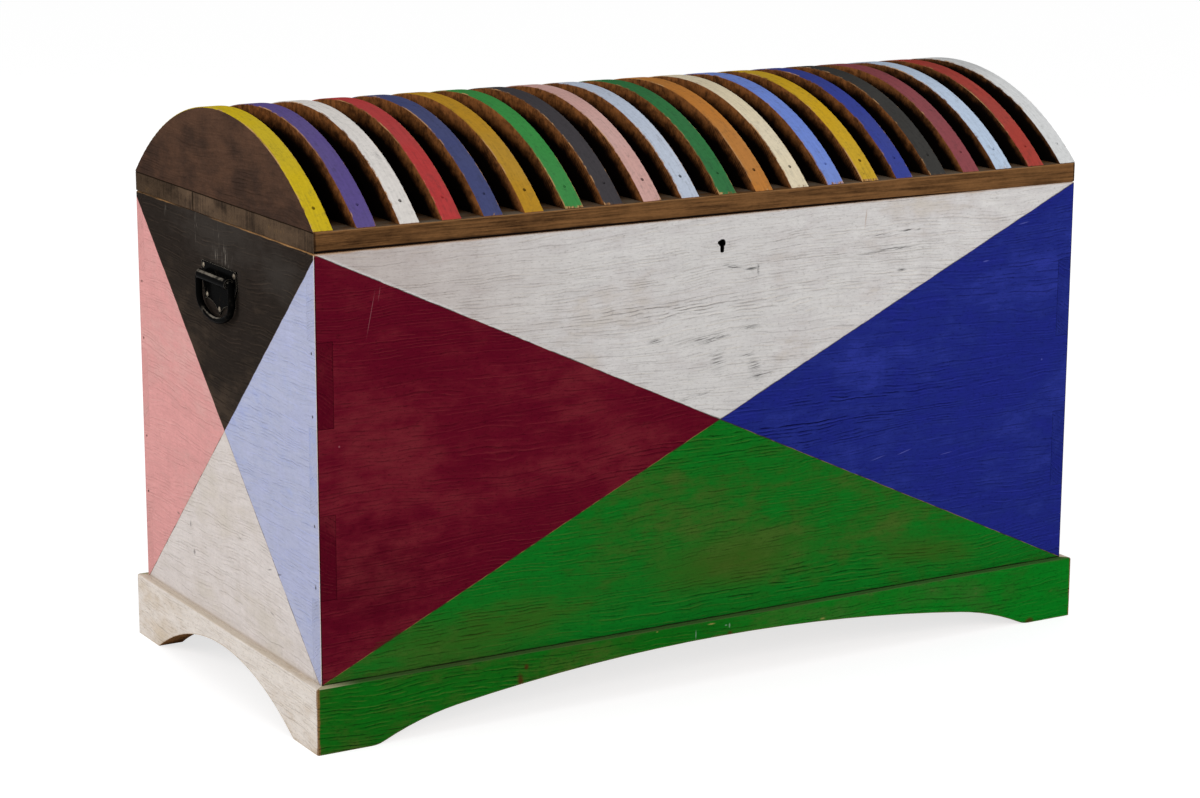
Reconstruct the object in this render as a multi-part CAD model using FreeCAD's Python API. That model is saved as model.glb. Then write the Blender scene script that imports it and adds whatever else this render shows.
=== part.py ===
"""A sea chest: a comb-jointed case on an arched plinth, under a flat lid with a row of arched ribs.

Millimetres. The origin is on the floor under the middle of the chest. +X runs along its length, +Y to its
back and +Z up. The lid is shut, both handles hang down and the bolt of the lock is drawn back.
"""

import FreeCAD
import Part

import math
import os

from FreeCAD import Vector

# The case, and the comb joints at its corners
CASE_LENGTH = 1100.0
CASE_DEPTH = 534.0
CASE_HEIGHT = 512.0
CASE_BOARD = 22.0
FINGER_COUNT = 5
CASE_WEAR = 2.0

# The plinth: it stands proud of the case, and its inner faces line up with the case's inner faces
PLINTH_HEIGHT = 81.0
PLINTH_PROUD = 11.0
PLINTH_WEAR = 2.5
ARCH_RISE = 59.0
LONG_FOOT = 79.0
SHORT_FOOT = 69.0
SHOULDER_LENGTH = 106.6
SHOULDER_RISE = 32.4
FOOT_ROUND = 40.0
BLOCK_SIDE = 40.0
BLOCK_LIFT = 6.0

# The bottom: boards laid front to back on two ledgers, which also tie the case to the plinth
LEDGER_THICKNESS = 20.0
LEDGER_LAP = 19.0
LEDGER_RISE = 20.0
BOTTOM_BOARD = 18.0
BOTTOM_COUNT = 5
BOTTOM_GAP = 1.0

# The lid: two long boards, and ribs that are circular segments over its whole depth
LID_BOARD = 25.0
LID_GAP = 0.4
LID_WEAR = 1.5
LID_FRONT_WIDTH = 347.5
RIB_COUNT = 21
RIB_THICKNESS = 25.0
RIB_RISE = 110.0
RIB_TOE = 2.0
RIB_INSET = 1.0
RIB_WEAR = 1.2
RIB_DRIFT = 7.5

# Nails and screws
FASTENER_FIT = 0.1
NAIL_SHANK = 2.6
NAIL_HEAD = 3.6
NAIL_HEAD_THICKNESS = 1.2
NAIL_POINT = 4.0
NAIL_TIP = 0.7
NAIL_COVER = 4.0
NAIL_SINK = 0.6
RIB_NAIL_INSET = 25.0
RIB_NAIL_SINK = 2.6
CORNER_NAIL_LENGTH = 50.0
CORNER_NAIL_MARGIN = 14.0
LEDGER_NAIL_COUNT = 6
LEDGER_NAIL_MARGIN = 70.0
BOTTOM_NAIL_MARGIN = 40.0
SCREW_SHANK = 3.5
SCREW_HEAD = 6.8
SCREW_SINK = 1.8
SCREW_LENGTH = 16.0
SCREW_POINT = 4.0
SCREW_TIP = 0.9
SCREW_DOME = 1.4
SCREW_SLOT = 0.8
SCREW_SLOT_DEPTH = 0.7

# Two butt hinges let in at the back
HINGE_LENGTH = 90.0
HINGE_LEAF = 2.5
HINGE_WIDTH = 20.0
HINGE_BARREL = 9.0
HINGE_PIN = 5.0
HINGE_PIN_FIT = 0.05
HINGE_PIN_HEAD = 1.5
HINGE_END_INSET = 210.0
HINGE_FIT = 0.3
HINGE_SCREW_MARGIN = 14.0
HINGE_SCREW_COUNT = 3
KNUCKLE_COUNT = 5
KNUCKLE_GAP = 0.4

# The handles: a pressed plate with a rolled eye, and a D-shaped bail that turns in the eye
HANDLE_DROP = 71.0
HANDLE_REACH = 8.0
PLATE_WIDTH = 104.0
PLATE_THICKNESS = 2.5
PLATE_RISE = 16.0
PLATE_WAIST_DROP = 7.0
PLATE_TAIL_WIDTH = 86.0
PLATE_TAIL_DROP = 31.0
PLATE_POINT_DROP = 45.0
PLATE_WAIST_HOLLOW = 2.0
PLATE_POINT_HOLLOW = 7.0
PLATE_ROUND = 3.0
PLATE_SCREW_MARGIN = 6.0
EYE_DIAMETER = 13.0
EYE_END_GAP = 0.5
BAIL_ROD = 8.5
BAIL_WIDTH = 98.0
BAIL_DROP = 50.0
BAIL_TOP_BEND = 5.5
BAIL_CORNER_BEND = 18.0
BAIL_BOW = 80.0
BAIL_FIT = 0.08

# The lock: a shallow case let into the front board, with a bolt that hooks two links of the lid's plate
KEY_DROP = 34.0
KEYHOLE_DIAMETER = 8.6
KEYHOLE_SLOT = 5.3
KEYHOLE_DROP = 11.5
LOCK_WIDTH = 70.0
LOCK_HEIGHT = 48.0
LOCK_DEPTH = 10.0
LOCK_WALL = 1.5
LOCK_CAP = 2.0
LOCK_FLANGE = 11.0
LOCK_SELVEDGE = 2.5
LOCK_FIT = 0.3
BOLT_START = -24.0
BOLT_LENGTH = 44.0
BOLT_THICKNESS = 3.0
BOLT_LIFT = 7.0
BOLT_HEIGHT = 8.0
BOLT_NOTCH = 8.0
BOLT_NOTCH_HEIGHT = 4.0
HOOK_SPACING = 32.0
HOOK_POST = 6.0
HOOK_RISE = 9.0
NOSE_LENGTH = 7.3
NOSE_HEIGHT = 5.0
BOLT_LUG = 5.0
BOLT_LUG_HEIGHT = 2.5
KEY_PIN = 3.2
KEY_PIN_LENGTH = 8.0
SPRING_THICKNESS = 0.8
SPRING_WIDTH = 5.0
SPRING_REACH = 19.0
SPRING_TIP = 15.0
LINK_THICKNESS = 3.0
LINK_WIDTH = 6.5
LINK_FIT = 1.0
LINK_EYE_FIT = 0.5
LINK_TOE = 2.0
LINK_PLATE = 2.5
LINK_SCREW_MARGIN = 6.0

# Levels and faces that the pieces share
half_length = CASE_LENGTH / 2
half_depth = CASE_DEPTH / 2
inner_length = half_length - CASE_BOARD
inner_depth = half_depth - CASE_BOARD
case_bottom = PLINTH_HEIGHT
case_top = case_bottom + CASE_HEIGHT
plinth_length = half_length + PLINTH_PROUD
plinth_depth = half_depth + PLINTH_PROUD
ledger_bottom = case_bottom - LEDGER_LAP
ledger_top = case_bottom + LEDGER_RISE
lid_bottom = case_top + LID_GAP
lid_top = lid_bottom + LID_BOARD
lid_seam = -half_depth + LID_FRONT_WIDTH
rib_half_chord = half_depth - RIB_INSET
rib_arch = RIB_RISE - RIB_TOE
rib_radius = (rib_half_chord ** 2 + rib_arch ** 2) / (2 * rib_arch)
rib_pitch = (CASE_LENGTH - RIB_THICKNESS) / (RIB_COUNT - 1)
hinge_axis_y = half_depth + HINGE_BARREL / 2 + HINGE_FIT
hinge_axis_z = case_top + LID_GAP / 2
handle_axis_x = -half_length - HANDLE_REACH
handle_axis_z = case_top - HANDLE_DROP
key_axis_z = case_top - KEY_DROP
works_y = -inner_depth - LOCK_DEPTH / 2
bolt_bottom = key_axis_z + BOLT_LIFT
bolt_top = bolt_bottom + BOLT_HEIGHT
nose_top = bolt_top + HOOK_RISE
nose_bottom = nose_top - NOSE_HEIGHT

UP = Vector(0, 0, 1)
DOWN = Vector(0, 0, -1)
LEFT = Vector(-1, 0, 0)
RIGHT = Vector(1, 0, 0)
FRONT = Vector(0, -1, 0)
BACK = Vector(0, 1, 0)
ORIGIN = Vector(0, 0, 0)

# How near two places on the outline must be to count as the same, and how far a cut runs past a face
SAME = 0.01
PAST = 1.0


def box(x_range, y_range, z_range):
    """A box between the two ends given along each axis."""
    low = Vector(x_range[0], y_range[0], z_range[0])
    return Part.makeBox(x_range[1] - x_range[0], y_range[1] - y_range[0], z_range[1] - z_range[0], low)


def around(middle, width):
    """The two ends of a stretch of the given width about its middle."""
    return (middle - width / 2, middle + width / 2)


def bar(start, end, radius):
    """A round bar from one point to another."""
    run = end - start
    return Part.makeCylinder(radius, run.Length, start, run)


def prism(edges, along):
    """A solid drawn out along a vector from the flat outline that the edges close."""
    return Part.Face(Part.Wire(Part.__sortEdges__(edges))).extrude(along)


def line(start, end):
    return Part.LineSegment(start, end).toShape()


def arc(start, middle, end):
    return Part.Arc(start, middle, end).toShape()


def placed(shape, at, along):
    """A copy of a shape that was built down from the origin, turned to run along a direction from a point."""
    copy = shape.copy()
    copy.Placement = FreeCAD.Placement(at, FreeCAD.Rotation(DOWN, along))
    return copy


def cut(shape, tools):
    """The shape without the tools' space, as one solid."""
    return shape.cut(tools).removeSplitter()


def worn_block(x_half, y_half, z_range, wear, edges_worn):
    """A block with its outer edges eased, which every board of a box is trimmed to."""
    block = box((-x_half, x_half), (-y_half, y_half), z_range)
    return block.makeFillet(wear, [edge for edge in block.Edges if edges_worn(edge.CenterOfMass.z)])


def finger_range(index):
    """The bottom and top of a finger, counted from the bottom of the case."""
    finger = CASE_HEIGHT / FINGER_COUNT
    return (case_bottom + index * finger, case_bottom + (index + 1) * finger)


def nail(length, clearance=0.0, mouth=0.0):
    """A flat-headed nail driven down from the origin, or its hole, with a mouth above the head."""
    head = NAIL_HEAD / 2 + clearance
    shank = NAIL_SHANK / 2 + clearance
    neck = -NAIL_HEAD_THICKNESS - clearance
    shoulder = -length + NAIL_POINT
    body = bar(Vector(0, 0, mouth), Vector(0, 0, neck), head)
    body = body.fuse(bar(Vector(0, 0, neck), Vector(0, 0, shoulder), shank))
    tip = NAIL_TIP / 2 + clearance
    point = Part.makeCone(shank, tip, NAIL_POINT + clearance, Vector(0, 0, shoulder), DOWN)
    return body.fuse(point).removeSplitter()


def screw(length, clearance=0.0, dome=0.0):
    """A slotted wood screw driven down from the origin, or its hole."""
    head = SCREW_HEAD / 2 + clearance
    shank = SCREW_SHANK / 2 + clearance
    shoulder = -length + SCREW_POINT
    body = Part.makeCone(head, shank, SCREW_SINK, ORIGIN, DOWN)
    body = body.fuse(bar(Vector(0, 0, -SCREW_SINK), Vector(0, 0, shoulder), shank))
    tip = SCREW_TIP / 2 + clearance
    body = body.fuse(Part.makeCone(shank, tip, SCREW_POINT + clearance, Vector(0, 0, shoulder), DOWN))
    if dome:
        ball = (head ** 2 + dome ** 2) / (2 * dome)
        cap = Part.makeSphere(ball, Vector(0, 0, dome - ball))
        body = body.fuse(cap.common(bar(ORIGIN, Vector(0, 0, dome), head)))
    if not clearance:
        slot_floor = dome - SCREW_SLOT_DEPTH
        body = body.cut(box((-head, head), around(0, SCREW_SLOT), (slot_floor, dome + SCREW_SLOT_DEPTH)))
    return body.removeSplitter()


def fasteners(shape, places):
    """One fastener for each place, which is a point and the direction that it is driven in."""
    return [placed(shape, at, along) for at, along in places]


def rib_middles():
    """Where the ribs stand along the lid: set by eye, so those near the middle have drifted to the right."""
    first = -half_length + RIB_THICKNESS / 2
    turn = math.pi / (RIB_COUNT - 1)
    return [first + index * rib_pitch + RIB_DRIFT * math.sin(index * turn) for index in range(RIB_COUNT)]


def rib_height(y):
    """How high a rib stands above the lid at a distance from the middle of its chord."""
    return math.sqrt(rib_radius ** 2 - y ** 2) - (rib_radius - RIB_RISE)


def rib_nail_places():
    """Nails driven straight down through the front and back toe of every rib."""
    reach = half_depth - RIB_NAIL_INSET
    level = lid_top + rib_height(reach) - RIB_NAIL_SINK
    return [(Vector(x, y, level), DOWN) for x in rib_middles() for y in (-reach, reach)]


def rib_nail_length():
    return rib_nail_places()[0][0].z - lid_bottom - NAIL_COVER


def corner_nail_places():
    """Nails through the end boards' fingers into the shoulders of the front and back boards."""
    places = []
    for index in range(1, FINGER_COUNT, 2):
        low, high = finger_range(index)
        for z in (low + CORNER_NAIL_MARGIN, high - CORNER_NAIL_MARGIN):
            for y in (-half_depth + CASE_BOARD / 2, half_depth - CASE_BOARD / 2):
                places.append((Vector(-half_length + NAIL_SINK, y, z), RIGHT))
                places.append((Vector(half_length - NAIL_SINK, y, z), LEFT))
    return places


def ledger_nail_places():
    """Nails through the ledgers, one row into the case and one row into the plinth."""
    reach = inner_length - LEDGER_NAIL_MARGIN
    step = 2 * reach / (LEDGER_NAIL_COUNT - 1)
    face = inner_depth - LEDGER_THICKNESS + NAIL_SINK
    places = []
    for index in range(LEDGER_NAIL_COUNT):
        x = -reach + index * step
        for z in (case_bottom - LEDGER_LAP / 2, case_bottom + LEDGER_RISE / 2):
            places.append((Vector(x, -face, z), FRONT))
            places.append((Vector(x, face, z), BACK))
    return places


def bottom_board_width():
    return (2 * inner_length - (BOTTOM_COUNT + 1) * BOTTOM_GAP) / BOTTOM_COUNT


def bottom_board_middles():
    width = bottom_board_width()
    first = -inner_length + BOTTOM_GAP + width / 2
    return [first + index * (width + BOTTOM_GAP) for index in range(BOTTOM_COUNT)]


def bottom_nail_places():
    """Two nails at each end of a bottom board, down into the ledgers."""
    reach = inner_depth - LEDGER_THICKNESS / 2
    offset = bottom_board_width() / 2 - BOTTOM_NAIL_MARGIN
    level = ledger_top + BOTTOM_BOARD - NAIL_SINK
    places = []
    for middle in bottom_board_middles():
        for x in (middle - offset, middle + offset):
            places.extend([(Vector(x, -reach, level), DOWN), (Vector(x, reach, level), DOWN)])
    return places


def floor_nail_length():
    """The nails of the bottom are all alike, and stop short of the case's outer face."""
    return LEDGER_THICKNESS + CASE_BOARD - NAIL_COVER


def hinge_middles():
    return (-half_length + HINGE_END_INSET, half_length - HINGE_END_INSET)


def hinge_screw_places(level, along):
    """The screws of both hinges' leaves on one side of the lid's seam."""
    y = half_depth - HINGE_WIDTH / 2
    reach = HINGE_LENGTH / 2 - HINGE_SCREW_MARGIN
    step = 2 * reach / (HINGE_SCREW_COUNT - 1)
    places = []
    for middle in hinge_middles():
        for index in range(HINGE_SCREW_COUNT):
            places.append((Vector(middle - reach + index * step, y, level), along))
    return places


def lock_screw_places():
    """A screw in each corner of the lock's cap, into the inside of the front board."""
    x = LOCK_WIDTH / 2 + LOCK_FLANGE / 2
    face = -inner_depth + LOCK_CAP
    low = case_top - LOCK_HEIGHT - LOCK_FLANGE / 2
    high = case_top - LOCK_FLANGE / 2
    return [(Vector(side * x, face, z), FRONT) for side in (-1, 1) for z in (low, high)]


def link_screw_places():
    x = LOCK_WIDTH / 2 - LINK_SCREW_MARGIN
    return [(Vector(side * x, works_y, lid_bottom), UP) for side in (-1, 1)]


def handle_screw_places():
    """The left handle's screws: one in each corner of the plate, and one above its point."""
    face = -half_length - PLATE_THICKNESS
    side = PLATE_WIDTH / 2 - PLATE_SCREW_MARGIN
    tail = PLATE_TAIL_WIDTH / 2 - PLATE_SCREW_MARGIN
    top = handle_axis_z + PLATE_RISE - PLATE_SCREW_MARGIN
    middle = handle_axis_z - PLATE_TAIL_DROP + PLATE_SCREW_MARGIN
    low = handle_axis_z - (PLATE_TAIL_DROP + PLATE_POINT_DROP) / 2
    spots = ((-side, top), (side, top), (-tail, middle), (tail, middle), (0, low))
    return [(Vector(face, y, z), RIGHT) for y, z in spots]


def turned(shape):
    """A copy turned half round about the upright axis, for the chest's other end."""
    copy = shape.copy()
    copy.rotate(ORIGIN, UP, 180)
    return copy


def case_boards():
    """The four boards of the case. The long boards hold the odd fingers and the end boards the even ones."""
    block = worn_block(half_length, half_depth, (case_bottom, case_top), CASE_WEAR, lambda z: z > case_bottom)
    full = (case_bottom, case_top)
    end_fingers = [finger_range(index) for index in range(1, FINGER_COUNT, 2)]
    long_fingers = [finger_range(index) for index in range(0, FINGER_COUNT, 2)]
    boards = {}
    for name, y_range in (("front_board", (-half_depth, -inner_depth)),
                          ("back_board", (inner_depth, half_depth))):
        slots = []
        for z_range in end_fingers:
            slots.append(box((-half_length, -inner_length), y_range, z_range))
            slots.append(box((inner_length, half_length), y_range, z_range))
        boards[name] = box((-half_length, half_length), y_range, full).common(block).cut(slots)
    for name, x_range in (("left_end_board", (-half_length, -inner_length)),
                          ("right_end_board", (inner_length, half_length))):
        slots = []
        for z_range in long_fingers:
            slots.append(box(x_range, (-half_depth, -inner_depth), z_range))
            slots.append(box(x_range, (inner_depth, half_depth), z_range))
        boards[name] = box(x_range, (-half_depth, half_depth), full).common(block).cut(slots)
    return boards


def keyhole():
    """The keyhole's space through the front board: a round head over a straight slot."""
    through = (-half_depth - PAST, -inner_depth)
    head = bar(Vector(0, through[0], key_axis_z), Vector(0, through[1], key_axis_z), KEYHOLE_DIAMETER / 2)
    return head.fuse(box(around(0, KEYHOLE_SLOT), through, (key_axis_z - KEYHOLE_DROP, key_axis_z)))


def lock_pocket():
    """The space that is cut in the front board for the lock's case."""
    return box(around(0, LOCK_WIDTH + 2 * LOCK_FIT), (-inner_depth - LOCK_DEPTH - LOCK_FIT, -inner_depth),
               (case_top - LOCK_HEIGHT - LOCK_FIT, case_top))


def hinge_pockets(z_range):
    """The shallow recesses that the leaves of both hinges lie in."""
    length = HINGE_LENGTH + 2 * HINGE_FIT
    y_range = (half_depth - HINGE_WIDTH - HINGE_FIT, half_depth)
    return [box(around(middle, length), y_range, z_range) for middle in hinge_middles()]


def fitted_case_boards():
    """The case's boards with nail and screw holes, the keyhole, and recesses for lock and hinges."""
    boards = case_boards()
    corner_holes = fasteners(nail(CORNER_NAIL_LENGTH, FASTENER_FIT, NAIL_SINK), corner_nail_places())
    floor_holes = fasteners(nail(floor_nail_length(), FASTENER_FIT), ledger_nail_places())
    screw_hole = screw(SCREW_LENGTH, FASTENER_FIT)
    lock_holes = fasteners(screw_hole, lock_screw_places())
    hinge_holes = fasteners(screw_hole, hinge_screw_places(case_top, DOWN))
    handle_holes = fasteners(screw_hole, handle_screw_places())
    leaf_pockets = hinge_pockets((case_top - HINGE_LEAF, case_top))
    tools = {
        "front_board": corner_holes + floor_holes + lock_holes + [keyhole(), lock_pocket()],
        "back_board": corner_holes + floor_holes + hinge_holes + leaf_pockets,
        "left_end_board": corner_holes + handle_holes,
        "right_end_board": corner_holes + [turned(hole) for hole in handle_holes],
    }
    return {name: cut(board, tools[name]) for name, board in boards.items()}


def arch_edges(half_span, place):
    """The edges of an arch of one circular arc, from foot to foot, closed just below the floor."""
    low = -PAST
    ends = [place(half_span, 0), place(0, ARCH_RISE), place(-half_span, 0)]
    corners = [place(-half_span, low), place(half_span, low)]
    return [arc(*ends), line(ends[2], corners[0]), line(corners[0], corners[1]), line(corners[1], ends[0])]


def shouldered_arch_edges(half_span, place):
    """The same for a long arch: a flat crown arc that runs tangent into a smaller arc at each shoulder."""
    meet = half_span - SHOULDER_LENGTH
    crown_tilt = 2 * math.atan2(ARCH_RISE - SHOULDER_RISE, meet)
    chord = math.hypot(SHOULDER_LENGTH, SHOULDER_RISE)
    chord_tilt = math.atan2(SHOULDER_RISE, SHOULDER_LENGTH)
    bulge = chord / 2 * math.tan((chord_tilt - crown_tilt) / 2)
    middle_u = (meet + half_span) / 2 + bulge * math.sin(chord_tilt)
    middle_z = SHOULDER_RISE / 2 + bulge * math.cos(chord_tilt)
    corners = [place(side * half_span, -PAST) for side in (-1, 1)]
    joins = [place(side * meet, SHOULDER_RISE) for side in (-1, 1)]
    edges = [line(corners[0], corners[1]), arc(joins[0], place(0, ARCH_RISE), joins[1])]
    for side, corner, join in zip((-1, 1), corners, joins):
        foot = place(side * half_span, 0)
        edges.append(line(corner, foot))
        edges.append(arc(foot, place(side * middle_u, middle_z), join))
    return edges


def mitred(x_half, y_outer, y_inner):
    """The space of a plinth board along X, with its ends cut at 45 degrees."""
    run = abs(y_outer - y_inner)
    corners = [Vector(-x_half, y_outer, 0), Vector(x_half, y_outer, 0),
               Vector(x_half - run, y_inner, 0), Vector(-x_half + run, y_inner, 0)]
    edges = [line(corners[index], corners[(index + 1) % 4]) for index in range(4)]
    return prism(edges, Vector(0, 0, PLINTH_HEIGHT))


def plinth_boards():
    """Front and back boards with a long shouldered arch, and end boards with a round one, mitred together."""
    block = worn_block(plinth_length, plinth_depth, (0, PLINTH_HEIGHT), PLINTH_WEAR, lambda z: z > 0)
    long_span = plinth_length - LONG_FOOT
    short_span = plinth_depth - SHORT_FOOT
    outer = -plinth_depth - PAST
    long_arch = prism(shouldered_arch_edges(long_span, lambda u, z: Vector(u, outer, z)),
                      Vector(0, plinth_depth - inner_depth + 2 * PAST, 0))
    front = mitred(plinth_length, -plinth_depth, -inner_depth).common(block).cut(long_arch)
    foot_edges = [edge for edge in front.Edges
                  if abs(edge.CenterOfMass.z) < SAME and abs(abs(edge.CenterOfMass.x) - long_span) < SAME]
    front = front.makeFillet(FOOT_ROUND, foot_edges)
    end_space = mitred(plinth_depth, plinth_length, inner_length)
    end_space.rotate(ORIGIN, UP, 90)
    short_arch = prism(arch_edges(short_span, lambda u, z: Vector(-plinth_length - PAST, u, z)),
                       Vector(plinth_length - inner_length + 2 * PAST, 0, 0))
    left = end_space.common(block).cut(short_arch)
    return {
        "front_plinth": front,
        "back_plinth": turned(front),
        "left_plinth": left,
        "right_plinth": turned(left),
    }


def corner_blocks():
    """Three-sided glue blocks in the plinth's corners, under the ledgers."""
    blocks = []
    for x_side in (-1, 1):
        for y_side in (-1, 1):
            corner = Vector(x_side * inner_length, y_side * inner_depth, BLOCK_LIFT)
            along = corner - Vector(x_side * BLOCK_SIDE, 0, 0)
            across = corner - Vector(0, y_side * BLOCK_SIDE, 0)
            edges = [line(corner, along), line(along, across), line(across, corner)]
            blocks.append(prism(edges, Vector(0, 0, ledger_bottom - BLOCK_LIFT)))
    return Part.makeCompound(blocks)


def bottom():
    """The ledgers, the boards that lie on them, and the plinth, with the nails that hold them together."""
    holes = fasteners(nail(floor_nail_length(), FASTENER_FIT, NAIL_SINK), ledger_nail_places())
    board_holes = fasteners(nail(floor_nail_length(), FASTENER_FIT, NAIL_SINK), bottom_nail_places())
    pieces = {}
    for name, face in (("front_ledger", -inner_depth), ("back_ledger", inner_depth - LEDGER_THICKNESS)):
        strip = box((-inner_length, inner_length), (face, face + LEDGER_THICKNESS),
                    (ledger_bottom, ledger_top))
        pieces[name] = cut(strip, holes + board_holes)
    reach = inner_depth - BOTTOM_GAP
    for index, middle in enumerate(bottom_board_middles()):
        board = box(around(middle, bottom_board_width()), (-reach, reach),
                    (ledger_top, ledger_top + BOTTOM_BOARD))
        pieces[f"bottom_board_{index + 1}"] = cut(board, board_holes)
    plinth = plinth_boards()
    for name in ("front_plinth", "back_plinth"):
        plinth[name] = cut(plinth[name], holes)
    pieces.update(plinth)
    pieces["plinth_corner_blocks"] = corner_blocks()
    places = ledger_nail_places() + bottom_nail_places()
    pieces["floor_nails"] = Part.makeCompound(fasteners(nail(floor_nail_length()), places))
    return pieces


def lid_boards():
    """The lid's two boards, with holes for nails and screws and recesses for hinge leaves and link plate."""
    block = worn_block(half_length, half_depth, (lid_bottom, lid_top), LID_WEAR, lambda z: True)
    tools = fasteners(nail(rib_nail_length(), FASTENER_FIT), rib_nail_places())
    tools += fasteners(screw(SCREW_LENGTH, FASTENER_FIT), lid_screw_places())
    tools += hinge_pockets((lid_bottom, lid_bottom + HINGE_LEAF))
    tools.append(box(around(0, LOCK_WIDTH + 2 * LOCK_FIT), around(works_y, LOCK_DEPTH + 2 * LOCK_FIT),
                     (lid_bottom, lid_bottom + LINK_PLATE)))
    whole = (-half_length, half_length)
    front = box(whole, (-half_depth, lid_seam), (lid_bottom, lid_top))
    back = box(whole, (lid_seam, half_depth), (lid_bottom, lid_top))
    return {
        "lid_front_board": cut(front.common(block), tools),
        "lid_back_board": cut(back.common(block), tools),
    }


def ribs():
    """The arched ribs, each a circular segment on edge with blunt toes and its two curved arrises eased."""
    corners = [Vector(0, y, lid_top) for y in (-rib_half_chord, rib_half_chord)]
    toes = [corner + UP * RIB_TOE for corner in corners]
    crown = Vector(0, 0, lid_top + RIB_RISE)
    edges = [
        line(corners[1], corners[0]),
        line(corners[0], toes[0]),
        arc(toes[0], crown, toes[1]),
        line(toes[1], corners[1]),
    ]
    segment = prism(edges, Vector(RIB_THICKNESS, 0, 0))
    arrises = [edge for edge in segment.Edges if isinstance(edge.Curve, Part.Circle)]
    segment = segment.makeFillet(RIB_WEAR, arrises)
    mouth = RIB_NAIL_SINK + NAIL_HEAD
    holes = fasteners(nail(rib_nail_length(), FASTENER_FIT, mouth), rib_nail_places())
    pieces = {}
    for index, middle in enumerate(rib_middles()):
        rib = segment.copy()
        rib.translate(Vector(middle - RIB_THICKNESS / 2, 0, 0))
        pieces[f"rib_{index + 1:02d}"] = cut(rib, holes[2 * index:2 * index + 2])
    return pieces


def barrel_ends(middle):
    """The two ends of a hinge's barrel, on its axis."""
    return [Vector(x, hinge_axis_y, hinge_axis_z) for x in around(middle, HINGE_LENGTH)]


def hinge_leaf(middle, z_range, stretches):
    """One leaf, with a knuckle about the hinge's axis in each of its own stretches along the barrel."""
    leaf = box(around(middle, HINGE_LENGTH), (half_depth - HINGE_WIDTH, half_depth), z_range)
    for x_range in stretches:
        leaf = leaf.fuse(box(x_range, (half_depth, hinge_axis_y), z_range))
        ends = [Vector(x, hinge_axis_y, hinge_axis_z) for x in x_range]
        leaf = leaf.fuse(bar(ends[0], ends[1], HINGE_BARREL / 2))
    ends = barrel_ends(middle)
    return leaf.cut(bar(ends[0], ends[1], HINGE_PIN / 2 + HINGE_PIN_FIT))


def hinges():
    """Two butt hinges. The outer and middle knuckles belong to the case, and the two between to the lid."""
    knuckle = HINGE_LENGTH / KNUCKLE_COUNT
    screw_hole = screw(SCREW_LENGTH, FASTENER_FIT)
    case_holes = fasteners(screw_hole, hinge_screw_places(case_top, DOWN))
    lid_holes = fasteners(screw_hole, hinge_screw_places(lid_bottom, UP))
    pieces = {}
    for side, middle in zip(("left", "right"), hinge_middles()):
        start = middle - HINGE_LENGTH / 2
        stretches = []
        for index in range(KNUCKLE_COUNT):
            low = start + index * knuckle + (KNUCKLE_GAP / 2 if index else 0)
            high = start + (index + 1) * knuckle - (KNUCKLE_GAP / 2 if index < KNUCKLE_COUNT - 1 else 0)
            stretches.append((low, high))
        case_leaf = hinge_leaf(middle, (case_top - HINGE_LEAF, case_top), stretches[0::2])
        lid_leaf = hinge_leaf(middle, (lid_bottom, lid_bottom + HINGE_LEAF), stretches[1::2])
        pieces[f"{side}_hinge_case_leaf"] = cut(case_leaf, case_holes)
        pieces[f"{side}_hinge_lid_leaf"] = cut(lid_leaf, lid_holes)
        ends = barrel_ends(middle)
        pin = bar(ends[0], ends[1], HINGE_PIN / 2)
        pin = pin.fuse(bar(ends[0] + LEFT * HINGE_PIN_HEAD, ends[0], HINGE_BARREL / 2))
        pin = pin.fuse(bar(ends[1], ends[1] + RIGHT * HINGE_PIN_HEAD, HINGE_BARREL / 2))
        pieces[f"{side}_hinge_pin"] = pin.removeSplitter()
    return pieces


def handle_plate():
    """The left handle's plate: wide above the rolled eye, and drawn in below it to a point."""
    face = -half_length

    def at(y, drop):
        return Vector(face, y, handle_axis_z - drop)

    side = PLATE_WIDTH / 2
    tail = PLATE_TAIL_WIDTH / 2
    waist_side = (side + tail) / 2 - PLATE_WAIST_HOLLOW
    waist_drop = (PLATE_WAIST_DROP + PLATE_TAIL_DROP) / 2
    point_drop = (PLATE_TAIL_DROP + PLATE_POINT_DROP) / 2 - PLATE_POINT_HOLLOW
    edges = [line(at(-side, -PLATE_RISE), at(side, -PLATE_RISE))]
    for sign in (-1, 1):
        edges.append(line(at(sign * side, -PLATE_RISE), at(sign * side, PLATE_WAIST_DROP)))
        edges.append(arc(at(sign * side, PLATE_WAIST_DROP), at(sign * waist_side, waist_drop),
                         at(sign * tail, PLATE_TAIL_DROP)))
        edges.append(arc(at(sign * tail, PLATE_TAIL_DROP), at(sign * tail / 2, point_drop),
                         at(0, PLATE_POINT_DROP)))
    plate = prism(edges, Vector(-PLATE_THICKNESS, 0, 0))
    corners = [edge for edge in plate.Edges
               if abs(edge.CenterOfMass.z - at(side, -PLATE_RISE).z) < SAME
               and abs(abs(edge.CenterOfMass.y) - side) < SAME]
    plate = plate.makeFillet(PLATE_ROUND, corners)
    eye_half = BAIL_WIDTH / 2 - BAIL_TOP_BEND - EYE_END_GAP
    ends = [Vector(handle_axis_x, y, handle_axis_z) for y in (-eye_half, eye_half)]
    eye = bar(ends[0], ends[1], EYE_DIAMETER / 2)
    return plate.fuse(eye).cut(bar(ends[0], ends[1], BAIL_ROD / 2 + BAIL_FIT))


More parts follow.
